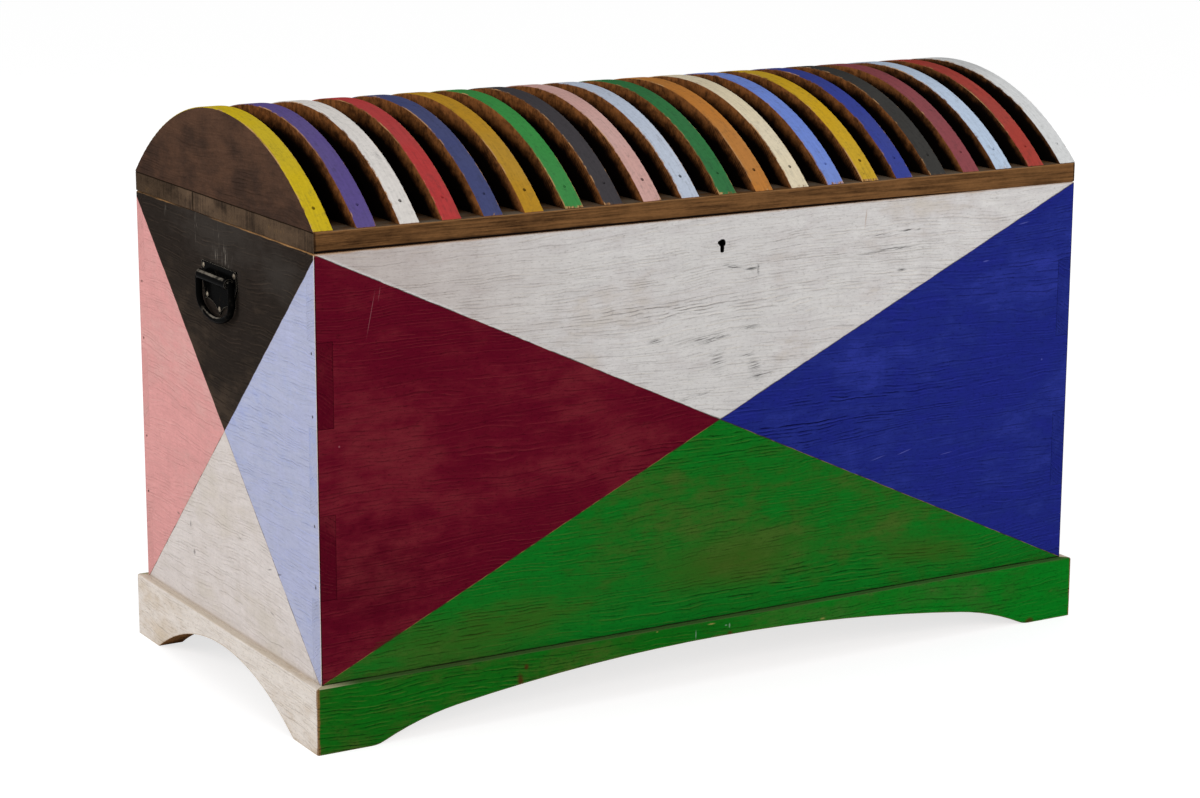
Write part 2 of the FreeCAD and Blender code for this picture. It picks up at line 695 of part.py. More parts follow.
def handle_bail():
    """The left handle's bail: one bent rod, closed, straight in the plate's eye and bowed below."""
    half = BAIL_WIDTH / 2

    def at(y, drop):
        return Vector(handle_axis_x, y, handle_axis_z - drop)

    spread = half - BAIL_CORNER_BEND
    fall = math.sqrt((BAIL_BOW - BAIL_CORNER_BEND) ** 2 - spread ** 2)
    lean = math.atan2(spread, fall)
    corner_lean = (math.radians(90) + lean) / 2
    bow_level = BAIL_DROP - BAIL_BOW
    corner_level = bow_level + fall
    top_reach = half - BAIL_TOP_BEND
    top_swing = BAIL_TOP_BEND * math.sqrt(0.5)
    joins = [at(sign * BAIL_BOW * math.sin(lean), bow_level + BAIL_BOW * math.cos(lean)) for sign in (-1, 1)]
    edges = [line(at(-top_reach, 0), at(top_reach, 0)), arc(joins[0], at(0, BAIL_DROP), joins[1])]
    for sign, join in zip((-1, 1), joins):
        leg = [at(sign * half, BAIL_TOP_BEND), at(sign * half, corner_level)]
        shoulder = at(sign * (top_reach + top_swing), BAIL_TOP_BEND - top_swing)
        corner = at(sign * (spread + BAIL_CORNER_BEND * math.sin(corner_lean)),
                    corner_level + BAIL_CORNER_BEND * math.cos(corner_lean))
        edges.append(arc(at(sign * top_reach, 0), shoulder, leg[0]))
        edges.append(line(leg[0], leg[1]))
        edges.append(arc(leg[1], corner, join))
    path = Part.Wire(Part.__sortEdges__(edges))
    start = path.OrderedVertexes[0].Point
    tangent = path.OrderedEdges[0].tangentAt(path.OrderedEdges[0].FirstParameter)
    section = Part.Wire(Part.makeCircle(BAIL_ROD / 2, start, tangent))
    return path.makePipeShell([section], True, False)


def handles():
    """A handle on each end of the case, with its screws."""
    screws = fasteners(screw(SCREW_LENGTH, dome=SCREW_DOME), handle_screw_places())
    plate = cut(handle_plate(), fasteners(screw(SCREW_LENGTH, FASTENER_FIT), handle_screw_places()))
    bail = handle_bail()
    return {
        "left_handle_plate": plate,
        "left_handle_bail": bail,
        "right_handle_plate": turned(plate),
        "right_handle_bail": turned(bail),
        "handle_screws": Part.makeCompound(screws + [turned(each) for each in screws]),
    }


def link_stretches():
    """Where the two links stand along the chest: just beyond the noses of the drawn-back bolt."""
    stretches = []
    for hook in (BOLT_START, BOLT_START + HOOK_SPACING):
        low = hook + HOOK_POST + NOSE_LENGTH + LINK_FIT
        stretches.append((low, low + LINK_THICKNESS))
    return stretches


def lock_case():
    """The lock's cap inside the chest, with the rim and selvedge of its case and a lug under the bolt."""
    half = LOCK_WIDTH / 2
    back = -inner_depth
    depth = (back - LOCK_DEPTH, back)
    low = case_top - LOCK_HEIGHT
    case = box(around(0, LOCK_WIDTH + 2 * LOCK_FLANGE), (back, back + LOCK_CAP),
               (low - LOCK_FLANGE, case_top))
    case = case.fuse(box((-half, -half + LOCK_WALL), depth, (low, case_top)))
    case = case.fuse(box((half - LOCK_WALL, half), depth, (low, case_top)))
    case = case.fuse(box((-half, half), depth, (low, low + LOCK_WALL)))
    case = case.fuse(box((-half, half), depth, (case_top - LOCK_SELVEDGE, case_top)))
    bolt_end = BOLT_START + BOLT_LENGTH
    lug_top = bolt_bottom - LOCK_FIT
    case = case.fuse(box((bolt_end - BOLT_LUG, bolt_end), (works_y - BOLT_THICKNESS / 2, back),
                         (lug_top - BOLT_LUG_HEIGHT, lug_top)))
    slots = [box((low_x - LINK_FIT, high_x + LINK_FIT), around(works_y, LINK_WIDTH + 2 * LINK_FIT),
                 (case_top - LOCK_SELVEDGE, case_top)) for low_x, high_x in link_stretches()]
    return cut(case, slots + fasteners(screw(SCREW_LENGTH, FASTENER_FIT), lock_screw_places()))


def lock_bolt():
    """A flat bar with a notch for the key's bit, and two hooks whose noses point along its travel."""
    thickness = around(works_y, BOLT_THICKNESS)
    bolt = box((BOLT_START, BOLT_START + BOLT_LENGTH), thickness, (bolt_bottom, bolt_top))
    for hook in (BOLT_START, BOLT_START + HOOK_SPACING):
        post_end = hook + HOOK_POST
        bolt = bolt.fuse(box((hook, post_end), thickness, (bolt_top, nose_top)))
        bolt = bolt.fuse(box((post_end, post_end + NOSE_LENGTH), thickness, (nose_bottom, nose_top)))
    return cut(bolt, [box(around(0, BOLT_NOTCH), thickness, (bolt_bottom, bolt_bottom + BOLT_NOTCH_HEIGHT))])


def lock_spring():
    """A leaf spring from the bottom of the lock's case, bent to lie level under the bolt."""
    floor = case_top - LOCK_HEIGHT + LOCK_WALL
    tip_level = bolt_bottom - LOCK_FIT
    rise = tip_level - floor
    radius = (SPRING_REACH ** 2 + rise ** 2) / (2 * rise)
    tip_x = BOLT_START + SPRING_TIP
    sweep = math.acos((radius - rise) / radius)
    y = works_y - SPRING_WIDTH / 2

    def at(reach, angle):
        return Vector(tip_x - reach * math.sin(angle), y, tip_level - radius + reach * math.cos(angle))

    inner = radius - SPRING_THICKNESS
    edges = [
        arc(at(radius, 0), at(radius, sweep / 2), at(radius, sweep)),
        line(at(radius, sweep), at(inner, sweep)),
        arc(at(inner, sweep), at(inner, sweep / 2), at(inner, 0)),
        line(at(inner, 0), at(radius, 0)),
    ]
    leaf = prism(edges, Vector(0, SPRING_WIDTH, 0))
    x_range = around(tip_x, 2 * (SPRING_REACH + PAST))
    return leaf.cut(box(x_range, around(works_y, LOCK_DEPTH), (floor - LOCK_HEIGHT, floor)))


def link_plate():
    """The lid's plate, with two links that drop through the lock's selvedge and take the bolt's noses."""
    plate = box(around(0, LOCK_WIDTH), around(works_y, LOCK_DEPTH), (lid_bottom, lid_bottom + LINK_PLATE))
    eye = (nose_bottom - LINK_EYE_FIT, nose_top + LINK_EYE_FIT)
    for x_range in link_stretches():
        link = box(x_range, around(works_y, LINK_WIDTH), (eye[0] - LINK_TOE, lid_bottom))
        plate = plate.fuse(link.cut(box(x_range, around(works_y, BOLT_THICKNESS + 2 * LINK_EYE_FIT), eye)))
    return cut(plate, fasteners(screw(SCREW_LENGTH, FASTENER_FIT), link_screw_places()))


def lock():
    """The lock's pieces, and the plate in the lid that it hooks."""
    pin_start = Vector(0, -inner_depth, key_axis_z)
    return {
        "lock_case": lock_case(),
        "lock_bolt": lock_bolt(),
        "lock_key_pin": bar(pin_start, pin_start + FRONT * KEY_PIN_LENGTH, KEY_PIN / 2),
        "lock_spring": lock_spring(),
        "lock_link_plate": link_plate(),
    }


def lid_screw_places():
    return hinge_screw_places(lid_bottom, UP) + link_screw_places()


def shared_fasteners():
    """The nails and screws that are not part of another group."""
    case_places = hinge_screw_places(case_top, DOWN) + lock_screw_places()
    groups = {
        "rib_nails": fasteners(nail(rib_nail_length()), rib_nail_places()),
        "corner_nails": fasteners(nail(CORNER_NAIL_LENGTH), corner_nail_places()),
        "case_screws": fasteners(screw(SCREW_LENGTH), case_places),
        "lid_screws": fasteners(screw(SCREW_LENGTH), lid_screw_places()),
    }
    return {name: Part.makeCompound(solids) for name, solids in groups.items()}


def build():
    """Every piece of the chest by its name."""
    pieces = {}
    for group in (fitted_case_boards, bottom, lid_boards, ribs, hinges, handles, lock, shared_fasteners):
        pieces.update(group())
    return pieces


os.makedirs("parts", exist_ok=True)
for name, shape in build().items():
    shape.exportStep(f"parts/{name}.step")
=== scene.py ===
"""The looks of a sea chest: worn oil paint on grained boards, stained ribs and blackened iron.

Everything is in metres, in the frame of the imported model: +X along the chest, +Y to its back, +Z up.
"""

import math
from typing import NamedTuple

import bpy
from mathutils import Matrix, Vector


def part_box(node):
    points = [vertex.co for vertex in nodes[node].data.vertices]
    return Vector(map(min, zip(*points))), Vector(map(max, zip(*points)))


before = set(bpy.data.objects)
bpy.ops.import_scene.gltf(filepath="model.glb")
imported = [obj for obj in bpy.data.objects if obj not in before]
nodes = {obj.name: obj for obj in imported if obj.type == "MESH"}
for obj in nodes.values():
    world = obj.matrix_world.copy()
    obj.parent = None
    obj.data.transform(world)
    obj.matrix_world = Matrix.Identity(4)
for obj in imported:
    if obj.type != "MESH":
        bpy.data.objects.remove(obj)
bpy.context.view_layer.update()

MM = 0.001

# Faces and levels of the chest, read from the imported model
front_low, front_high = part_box("front_board")
plinth_low, plinth_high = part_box("front_plinth")
lid_low, lid_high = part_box("lid_front_board")
rib_low, rib_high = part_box("rib_01")
half_length = front_high.x
half_depth = -front_low.y
board = front_high.y - front_low.y
case_bottom = front_low.z
case_top = front_high.z
case_middle = (case_bottom + case_top) / 2
half_height = (case_top - case_bottom) / 2
plinth_half_length = plinth_high.x
plinth_half_depth = -plinth_low.y
lid_top = lid_high.z
lid_bottom = lid_low.z
lid_seam = lid_high.y
RIB_TOE = 2 * MM
rib_half_chord = rib_high.y
rib_half_thickness = (rib_high.x - rib_low.x) / 2
rib_arch = rib_high.z - rib_low.z - RIB_TOE
rib_radius = (rib_half_chord ** 2 + rib_arch ** 2) / (2 * rib_arch)
rib_centre = rib_high.z - rib_radius
rib_half_turn = rib_radius * math.asin(rib_half_chord / rib_radius)
FINGERS = 5
finger = 2 * half_height / FINGERS


def srgb(red, green, blue):
    """A colour as it shows on a screen, from 0 to 255, in the linear values that a shader takes."""
    parts = []
    for part in (red, green, blue):
        share = part / 255
        parts.append(share / 12.92 if share <= 0.04045 else ((share + 0.055) / 1.055) ** 2.4)
    return (*parts, 1.0)


class Wire:
    """A number at each point of a surface, worked out by a material's nodes and written as arithmetic."""

    def __init__(self, graph, socket):
        self.graph = graph
        self.socket = socket

    def __add__(self, other):
        return self.graph.math("ADD", self, other)

    def __sub__(self, other):
        return self.graph.math("SUBTRACT", self, other)

    def __rsub__(self, other):
        return self.graph.math("SUBTRACT", other, self)

    def __mul__(self, other):
        return self.graph.math("MULTIPLY", self, other)

    def __truediv__(self, other):
        return self.graph.math("DIVIDE", self, other)

    def __abs__(self):
        return self.graph.math("ABSOLUTE", self)

    __radd__ = __add__
    __rmul__ = __mul__


class Mark(NamedTuple):
    """A mark on a face in millimetres: its middle, half length and half height, and its tilt in degrees."""

    across: float
    up: float
    reach: float
    rise: float
    tilt: float = 0.0


# Mirror light of oil paint and of varnish, kept low against the white studio
MATT_GLOSS = 0.0
VARNISH_GLOSS = 0.002


class Graph:
    """A material and its node tree, with short names for the nodes that the finishes are made of."""

    def __init__(self, name):
        self.material = bpy.data.materials.new(name)
        self.material.use_nodes = True
        self.tree = self.material.node_tree
        self.shader = self.tree.nodes["Principled BSDF"]
        self.shader.inputs["Specular IOR Level"].default_value = MATT_GLOSS
        place = self.tree.nodes.new("ShaderNodeTexCoord")
        self.place = place.outputs["Object"]
        self.x, self.y, self.z = self.parts(self.place)
        self.facing = self.parts(place.outputs["Normal"])

    def feed(self, socket, value):
        """Links a socket to a wire or to another socket, or sets it to a plain value."""
        if isinstance(value, Wire):
            value = value.socket
        if isinstance(value, bpy.types.NodeSocket):
            self.tree.links.new(value, socket)
        elif socket.type == "VECTOR":
            socket.default_value = value[:3]
        else:
            socket.default_value = value

    def parts(self, vector):
        """A vector's three numbers."""
        node = self.tree.nodes.new("ShaderNodeSeparateXYZ")
        self.feed(node.inputs[0], vector)
        return [Wire(self, output) for output in node.outputs]

    def join(self, x, y, z=0.0):
        """A vector from its numbers."""
        node = self.tree.nodes.new("ShaderNodeCombineXYZ")
        for socket, value in zip(node.inputs, (x, y, z)):
            self.feed(socket, value)
        return node.outputs[0]

    def math(self, operation, *values):
        """One step of arithmetic on wires or plain numbers."""
        node = self.tree.nodes.new("ShaderNodeMath")
        node.operation = operation
        for socket, value in zip(node.inputs, values):
            self.feed(socket, value)
        return Wire(self, node.outputs[0])

    def smallest(self, first, second):
        """The smaller of two numbers."""
        return self.math("MINIMUM", first, second)

    def largest(self, first, second):
        """The larger of two numbers."""
        return self.math("MAXIMUM", first, second)

    def between(self, share, first, second):
        """The first number where the share is 0 and the second where it is 1."""
        return self.math("MULTIPLY_ADD", share, second - first, first)

    def rise(self, value, low, high):
        """0 up to the low value and 1 from the high value on, eased in between. Low may be the larger."""
        node = self.tree.nodes.new("ShaderNodeMapRange")
        node.interpolation_type = "SMOOTHSTEP"
        for index, each in enumerate((value, low, high)):
            self.feed(node.inputs[index], each)
        return Wire(self, node.outputs[0])

    def cloud(self, scale, seed, detail=3.0, roughness=0.55, point=None):
        """Noise around a half, with its own number of features per metre along each axis."""
        spread = self.tree.nodes.new("ShaderNodeMapping")
        self.feed(spread.inputs["Vector"], self.place if point is None else point)
        spread.inputs["Location"].default_value = (seed * 3.1, seed * 1.7, seed * 2.3)
        spread.inputs["Scale"].default_value = scale
        node = self.tree.nodes.new("ShaderNodeTexNoise")
        self.feed(node.inputs["Vector"], spread.outputs[0])
        node.inputs["Scale"].default_value = 1.0
        node.inputs["Detail"].default_value = detail
        node.inputs["Roughness"].default_value = roughness
        return Wire(self, node.outputs[0])

    def chance(self, number):
        """A random number from 0 to 1 for each whole number."""
        node = self.tree.nodes.new("ShaderNodeTexWhiteNoise")
        node.noise_dimensions = "1D"
        self.feed(node.inputs["W"], number)
        return Wire(self, node.outputs["Value"])

    def spot(self, point, mark, ragged, soft=0.4):
        """1 in a mark and 0 outside it, with a ragged edge. The point is a place on the mark's face."""
        node = self.tree.nodes.new("ShaderNodeMapping")
        node.vector_type = "TEXTURE"
        self.feed(node.inputs["Vector"], point)
        node.inputs["Location"].default_value = (mark.across * MM, mark.up * MM, 0.0)
        node.inputs["Rotation"].default_value = (0.0, 0.0, math.radians(mark.tilt))
        node.inputs["Scale"].default_value = (mark.reach * MM, mark.rise * MM, 1.0)
        away = self.tree.nodes.new("ShaderNodeVectorMath")
        away.operation = "LENGTH"
        self.feed(away.inputs[0], node.outputs[0])
        return self.rise(Wire(self, away.outputs["Value"]) + ragged, 1.0, soft)

    def spots(self, point, marks, ragged, soft=0.4):
        """1 in any of the marks and 0 elsewhere."""
        total = None
        for mark in marks:
            each = self.spot(point, mark, ragged, soft)
            total = each if total is None else self.largest(total, each)
        return total

    def mix(self, share, first, second):
        """The first colour where the share is 0 and the second where it is 1."""
        node = self.tree.nodes.new("ShaderNodeMix")
        node.data_type = "RGBA"
        for index, value in ((0, share), (6, first), (7, second)):
            self.feed(node.inputs[index], value)
        return node.outputs[2]

    def shade(self, colour, factor):
        """A colour made darker or lighter by a factor."""
        node = self.tree.nodes.new("ShaderNodeVectorMath")
        node.operation = "SCALE"
        self.feed(node.inputs[0], colour)
        self.feed(node.inputs["Scale"], factor)
        return node.outputs[0]

    def finish(self, colour, roughness, height=None, relief=0.0):
        """Sets the surface, with a relief of the given depth in metres. Returns the material."""
        self.feed(self.shader.inputs["Base Color"], colour)
        self.feed(self.shader.inputs["Roughness"], roughness)
        if height is not None:
            node = self.tree.nodes.new("ShaderNodeBump")
            node.inputs["Distance"].default_value = relief
            self.feed(node.inputs["Height"], height)
            self.feed(self.shader.inputs["Normal"], node.outputs[0])
        return self.material


# The grain of a board, which the paint follows
RING_PITCH = 4.2 * MM
RING_SLANT = 0.6
RING_WANDER = 80 * MM
RING_RIPPLE = 13 * MM


class Grain:
    """The grain of a board: growth lines, the ridges beside them, fibres, specks and two sizes of patch."""

    def __init__(self, g, along, across, depth, seed):
        point = g.join(along, across, depth)
        wander = g.cloud((1.7, 5, 5), seed, 2.0, point=point) - 0.5
        ripple = g.cloud((13, 24, 24), seed, 3.0, point=point) - 0.5
        bent = across + depth * RING_SLANT + wander * RING_WANDER + ripple * RING_RIPPLE
        follow = g.join(along, bent, depth)
        turns = bent / RING_PITCH
        ring = g.math("FLOOR", turns)
        phase = turns - ring
        strength = g.rise(g.chance(ring), -0.2, 0.9)
        strength = strength * g.rise(g.cloud((26, 190, 190), seed, 2.0, point=point), 0.4, 0.58)
        self.line = g.rise(phase, 0.5, 0.86) * g.rise(phase, 1.0, 0.9) * strength
        self.ridge = g.rise(phase, 0.0, 0.1) * g.rise(phase, 0.45, 0.15) * strength
        self.fibre = g.cloud((18, 620, 620), seed, 3.0, 0.65, point=follow)
        self.figure = g.cloud((28, 330, 330), seed, 2.0, point=follow)
        self.speck = g.cloud((190, 400, 400), seed, 3.0, 0.75, point=point)
        self.broad = g.cloud((4.5, 9, 9), seed, 4.0, point=point)
        self.mottle = g.cloud((26, 48, 48), seed, 5.0, 0.62, point=point)

    def wood(self, g, light, dark):
        """The colour of bare wood with this grain."""
        tone = self.line * 0.4 + self.fibre * 0.45 + self.broad * 0.4
        return g.mix(g.rise(tone, 0.28, 0.85), light, dark)


OLD_WOOD = srgb(156, 112, 70)
OLD_WOOD_DARK = srgb(78, 50, 30)
WORN_EDGE = srgb(190, 146, 96)
WOOD_STAIN = srgb(92, 66, 44)
# Grime, for dark seams and nail heads, and also painted shade at the case's foot and in the bare nails' holes
GRIME_AND_SHADE = srgb(26, 20, 15)
# Near black: painted shade in the keyhole's hollow and under the lid's front edge, and the lid's dark ends
NEAR_BLACK = srgb(15, 11, 9)
WHITE = srgb(255, 255, 255)


class Paint(NamedTuple):
    """A coat of paint: its colour, and the colours of its patches, its rubbed places and its grain lines."""

    coat: tuple
    patch: tuple
    thin: tuple
    line: tuple


OFF_WHITE = Paint(srgb(202, 199, 197), srgb(194, 189, 189), srgb(195, 187, 177), srgb(146, 140, 137))
BURGUNDY = Paint(srgb(87, 10, 29), srgb(99, 19, 34), srgb(111, 35, 43), srgb(44, 5, 13))
ULTRAMARINE = Paint(srgb(30, 37, 119), srgb(29, 40, 111), srgb(44, 53, 143), srgb(10, 11, 52))
GREEN = Paint(srgb(14, 105, 29), srgb(26, 94, 25), srgb(66, 94, 35), srgb(7, 38, 9))
# A lighter copy of the green, as painted light that makes up for the low plinth getting less light
PLINTH_GREEN_LIT = Paint(srgb(11, 116, 29), srgb(20, 106, 26), srgb(50, 106, 38), srgb(7, 42, 10))
CHARCOAL = Paint(srgb(44, 38, 34), srgb(37, 33, 30), srgb(70, 59, 50), srgb(14, 11, 9))
PINK = Paint(srgb(214, 153, 150), srgb(207, 147, 144), srgb(215, 165, 160), srgb(190, 130, 126))
LAVENDER = Paint(srgb(171, 175, 203), srgb(176, 179, 197), srgb(161, 171, 216), srgb(148, 153, 184))
END_WHITE = Paint(srgb(212, 204, 200), srgb(207, 198, 194), srgb(205, 196, 186), srgb(174, 163, 154))
PLINTH_WHITE = Paint(srgb(222, 214, 206), srgb(216, 206, 197), srgb(206, 190, 168), srgb(164, 148, 130))

LONG_SIDE = {"top": OFF_WHITE, "left": BURGUNDY, "right": ULTRAMARINE, "bottom": GREEN}
END_SIDE = {"top": CHARCOAL, "left": PINK, "right": LAVENDER, "bottom": END_WHITE}
END_CROSSING_DROP = 5 * MM
LINE_SOFTNESS = 0.3 * MM
LINE_WOBBLE = 1.6 * MM


def coated(g, grain, coats, coarse=0.0, fine=1.0):
    """Brushed paint over a grain: patches, rubbed places, and grain lines, deeper where it is coarse."""
    coat, patch, thin, line = coats
    paint = g.mix(g.rise(grain.broad * 0.6 + grain.mottle * 0.4, 0.4, 0.62), coat, patch)
    rubbed = g.rise(grain.broad * 0.8 + grain.mottle * 0.5 + grain.fibre * 0.25, 0.74, 1.0)
    paint = g.mix(g.largest(rubbed * 0.85, grain.ridge * 0.5), paint, thin)
    showing = g.rise(grain.mottle * 0.5 + grain.broad * 0.5, 0.36, 0.62) * (0.05 + fine * 0.4)
    dash = (g.rise(grain.fibre, 0.56, 0.74) * 0.32 + g.rise(grain.speck, 0.54, 0.72) * 0.45) * fine
    groove = g.smallest(grain.line * (showing + coarse * 0.7) + dash, 1.0)
    paint = g.mix(groove, paint, line)
    # Grain ridges are lightened, as a painted highlight on the raised grain; the figure varies the paint's
    # tone at random
    relief = grain.ridge * (coarse * 0.06 + 0.04) - (grain.figure - 0.5) * 0.2
    fine_relief = (grain.fibre - 0.5) * 0.12 + (grain.speck - 0.5) * 0.2
    return g.shade(paint, 1.0 + relief - fine_relief - (grain.mottle - 0.5) * 0.16)


def saltire(g, across, up, half_across, half_up, colours, wobble):
    """Four triangles that meet on a face's diagonals: each colour of their paints, and the way to a line."""
    scale = half_across * half_up / math.hypot(half_across, half_up)
    rising = (up / half_up - across / half_across) * scale + wobble
    falling = (up / half_up + across / half_across) * scale + wobble
    above_rising = g.rise(rising, -LINE_SOFTNESS, LINE_SOFTNESS)
    above_falling = g.rise(falling, -LINE_SOFTNESS, LINE_SOFTNESS)
    coats = []
    for part in Paint._fields:
        pick = {side: getattr(paint, part) for side, paint in colours.items()}
        low = g.mix(above_rising, pick["bottom"], pick["left"])
        high = g.mix(above_rising, pick["right"], pick["top"])
        coats.append(g.mix(above_falling, low, high))
    return coats, g.smallest(abs(rising), abs(falling))


# Marks of use on the front, placed as they lie on the old chest
COARSE_GRAIN = (
    Mark(140, 318, 420, 62, 5), Mark(120, 112, 440, 30), Mark(-60, 482, 200, 16, -3),
    Mark(-330, 122, 190, 40, 4),
)
BROWNED = (Mark(-310, 118, 190, 40, 3), Mark(10, 148, 150, 46, 4), Mark(330, 120, 110, 26, -6))
DEEPENED = (Mark(-480, 200, 120, 100),)
SCUFFS = (
    Mark(16, 529, 20, 3, -8), Mark(44, 523, 16, 2.4), Mark(54, 520, 2.4, 9), Mark(-32, 442, 52, 7, 5),
    Mark(-14, 439, 30, 5, 8), Mark(38, 450, 26, 5), Mark(-6, 412, 18, 22), Mark(39, 415, 15, 3),
    Mark(56, 387, 28, 7, 8), Mark(50, 397, 14, 14), Mark(-38, 370, 30, 5, 6), Mark(-96, 446, 14, 5),
    Mark(248, 528, 62, 3, 3), Mark(236, 549, 22, 2.4), Mark(286, 551, 22, 2.4), Mark(272, 501, 10, 2.4),
)
SCRATCHES = (
    Mark(-479, 519, 36, 0.5, 78), Mark(-468, 541, 12, 0.4, 80), Mark(243, 257, 15, 0.6, 12),
    Mark(284, 260, 14, 0.7, 14), Mark(352, 250, 13, 0.5, 6), Mark(408, 500, 6, 1.0, 6),
    Mark(468, 545, 11, 0.8, 8), Mark(506, 359, 1.4, 1.4), Mark(-522, 366, 1.5, 1.5),
)
SCORED_LINES = (Mark(255, 530, 40, 0.9, 1), Mark(18, 527, 17, 1.0, -8), Mark(53, 520, 1.0, 8))
RUST_DRIP = (Mark(215, 572, 1.4, 17, -6),)
# Dark chips around the keyhole, which also widen its dark opening, and its hollow, painted black as painted
# shade
KEYHOLE_CHIPS_AND_SHADE = (Mark(-4.4, 559.6, 2.5, 2.8), Mark(0, 558.8, 5.5, 5.6), Mark(0, 552.5, 3.4, 6.2))
KEYHOLE_SHADE = (Mark(0, 555, 9, 14),)
STROKE_SLANT = 0.15
BROWN_STAIN = srgb(62, 76, 24)
SCUFF_BLACK = srgb(52, 50, 50)
SCORED_BLACK = srgb(60, 58, 57)
RUST_BROWN = srgb(150, 112, 78)


def front_marks(g, paint, grain):
    """Scuffs, scratches and wear on the front's paint."""
    face = g.join(g.x, g.z)
    ragged = (grain.mottle - 0.5) * 1.8 + (grain.fibre - 0.5)
    strokes = g.cloud((30, 700, 1), 8.0, 4.0, 0.7, g.join(g.x, g.z - g.x * STROKE_SLANT))
    paint = g.mix(g.spots(face, BROWNED, ragged, 0.0) * 0.5, paint, BROWN_STAIN)
    paint = g.shade(paint, 1.0 - g.spots(face, DEEPENED, ragged, 0.0) * 0.22)
    black = g.spots(face, SCUFFS, ragged, 0.0) * g.rise(strokes, 0.44, 0.6)
    paint = g.mix(black * 0.85, paint, SCUFF_BLACK)
    paint = g.mix(g.spots(face, SCORED_LINES, ragged * 0.5, 0.2) * 0.6, paint, SCORED_BLACK)
    scratched = g.mix(0.08, g.shade(paint, 1.8), WHITE)
    paint = g.mix(g.spots(face, SCRATCHES, ragged * 0.4, 0.3) * 0.75, paint, scratched)
    return g.mix(g.spots(face, RUST_DRIP, ragged * 0.4, 0.1) * 0.5, paint, RUST_BROWN)


# Marks of use on the left end, along Y and up
HANDLE_SCRATCHES = (
    Mark(-8, 552, 40, 22), Mark(10, 576, 12, 24), Mark(72, 574, 12, 32), Mark(168, 580, 8, 12),
)
END_DUST = (Mark(0, 580, 200, 70), Mark(-170, 556, 90, 46))
END_FLECKS = (
    Mark(116, 186, 4, 6), Mark(106, 152, 4, 5), Mark(155, 191, 6, 2), Mark(-126, 187, 9, 1.4, -16),
    Mark(-155, 188, 8, 1.4, -16), Mark(-256, 200, 3, 3), Mark(-131, 133, 8, 1.2, 8), Mark(-40, 205, 7, 1.2),
)
END_DUST_GREY = srgb(76, 72, 68)
FLECK_GREY = srgb(82, 75, 70)
SCRATCH_GREY = srgb(150, 142, 132)


def end_marks(g, paint, grain):
    """Dust at the top, dark flecks low down, and fine upright scratches above the handle."""
    face = g.join(g.y, g.z)
    ragged = (grain.mottle - 0.5) * 1.2
    paint = g.mix(g.spots(face, END_DUST, ragged, 0.0) * 0.3, paint, END_DUST_GREY)
    paint = g.mix(g.spots(face, END_FLECKS, ragged + grain.fibre - 0.5, 0.1) * 0.6, paint, FLECK_GREY)
    upright = g.cloud((1, 330, 34), 9.0, 3.0, 0.7)
    pale = g.spots(face, HANDLE_SCRATCHES, ragged, 0.1) * g.rise(upright, 0.55, 0.68)
    return g.mix(pale * 0.6, paint, SCRATCH_GREY)


# Wear on the case: where along its length or its height it begins and is full
CLEANED = (0.0, 400 * MM)
DIRTIED = (-160 * MM, -540 * MM)
JOINTS_PLAIN = (300 * MM, -300 * MM)
TOP_WORN = (-250 * MM, -520 * MM)
LOW_HALF = (20 * MM, -20 * MM)

# How far from its line or edge wear begins and is full, and how far that wanders
SCORE_WIDTH = (0.8 * MM, 0.2 * MM)
SCORE_WANDER = 3 * MM
JOINT_WIDTH = (1.1 * MM, 0.3 * MM)
JOINT_WANDER = 1.2 * MM
CORNER_CHIP = (0.1 * MM, -0.5 * MM)
CORNER_WANDER = 2.6 * MM
SIDE_ARRIS = (1.3 * MM, 0.4 * MM)
END_ARRIS = (0.8 * MM, 0.2 * MM)
ARRIS_WANDER = 1.8 * MM
END_TOP_EDGE = (0.0, -0.8 * MM)
END_TOP_WANDER = 3 * MM
SIDE_TOP_EDGE = (0.4 * MM, -1.8 * MM)
SIDE_TOP_WANDER = 4 * MM
# Where the grime and painted shade at the long sides' foot begin and are full
SIDE_FOOT = (2.4 * MM, 0.8 * MM)
END_FOOT = (5 * MM, 1 * MM)
FOOT_WANDER = 4 * MM
PAINT_REACH = (1.4 * MM, 2.4 * MM)
KEYHOLE_LIP = (0.2 * MM, 0.6 * MM)
FACE_CHANGE = 0.1 * MM
CASE_RELIEF = 0.9 * MM

# The colours of that wear
WARM_DIRT = srgb(140, 112, 98)
SCORED_DARK = srgb(56, 42, 29)
SCORED_LIGHT = srgb(158, 112, 72)
DARK_ARRIS = srgb(38, 13, 13)
PALE_ARRIS = srgb(212, 198, 188)
TOP_TAN = srgb(184, 146, 106)
FOOT_TAN = srgb(172, 152, 126)


class CaseFaces:
    """How far a point lies from the case's front or back and from its ends, and which of them it is on."""

    def __init__(self, g):
        self.to_front = half_depth - abs(g.y)
        self.to_end = half_length - abs(g.x)
        self.on_end = g.rise(self.to_end - self.to_front, FACE_CHANGE, -FACE_CHANGE)
        self.on_side = 1.0 - self.on_end


def case_triangles(g, faces):
    """The paints' colours on the long sides and the ends, and the way to the nearest line between them."""
    wobble = (g.cloud((60, 60, 60), 0.0) - 0.5) * LINE_WOBBLE
    long_coats, long_line = saltire(g, g.x, g.z - case_middle, half_length, half_height, LONG_SIDE, wobble)
    end_up = g.z - (case_middle - END_CROSSING_DROP)
    end_coats, end_line = saltire(g, g.y * -1, end_up, half_depth, half_height, END_SIDE, wobble)
    coats = [g.mix(faces.on_end, *pair) for pair in zip(long_coats, end_coats)]
    return coats, g.between(faces.on_end, long_line, end_line)


def finger_lines(g, grain, faces):
    """1 along the lines between the fingers of a corner, and 0 elsewhere."""
    level = (g.z - case_bottom) / finger
    to_joint = abs(g.math("FRACT", level + 0.5) - 0.5) * finger
    to_joint = g.smallest(to_joint, abs(board - faces.to_front - faces.to_end))
    return g.rise(to_joint + (grain.mottle - 0.5) * JOINT_WANDER, *JOINT_WIDTH)


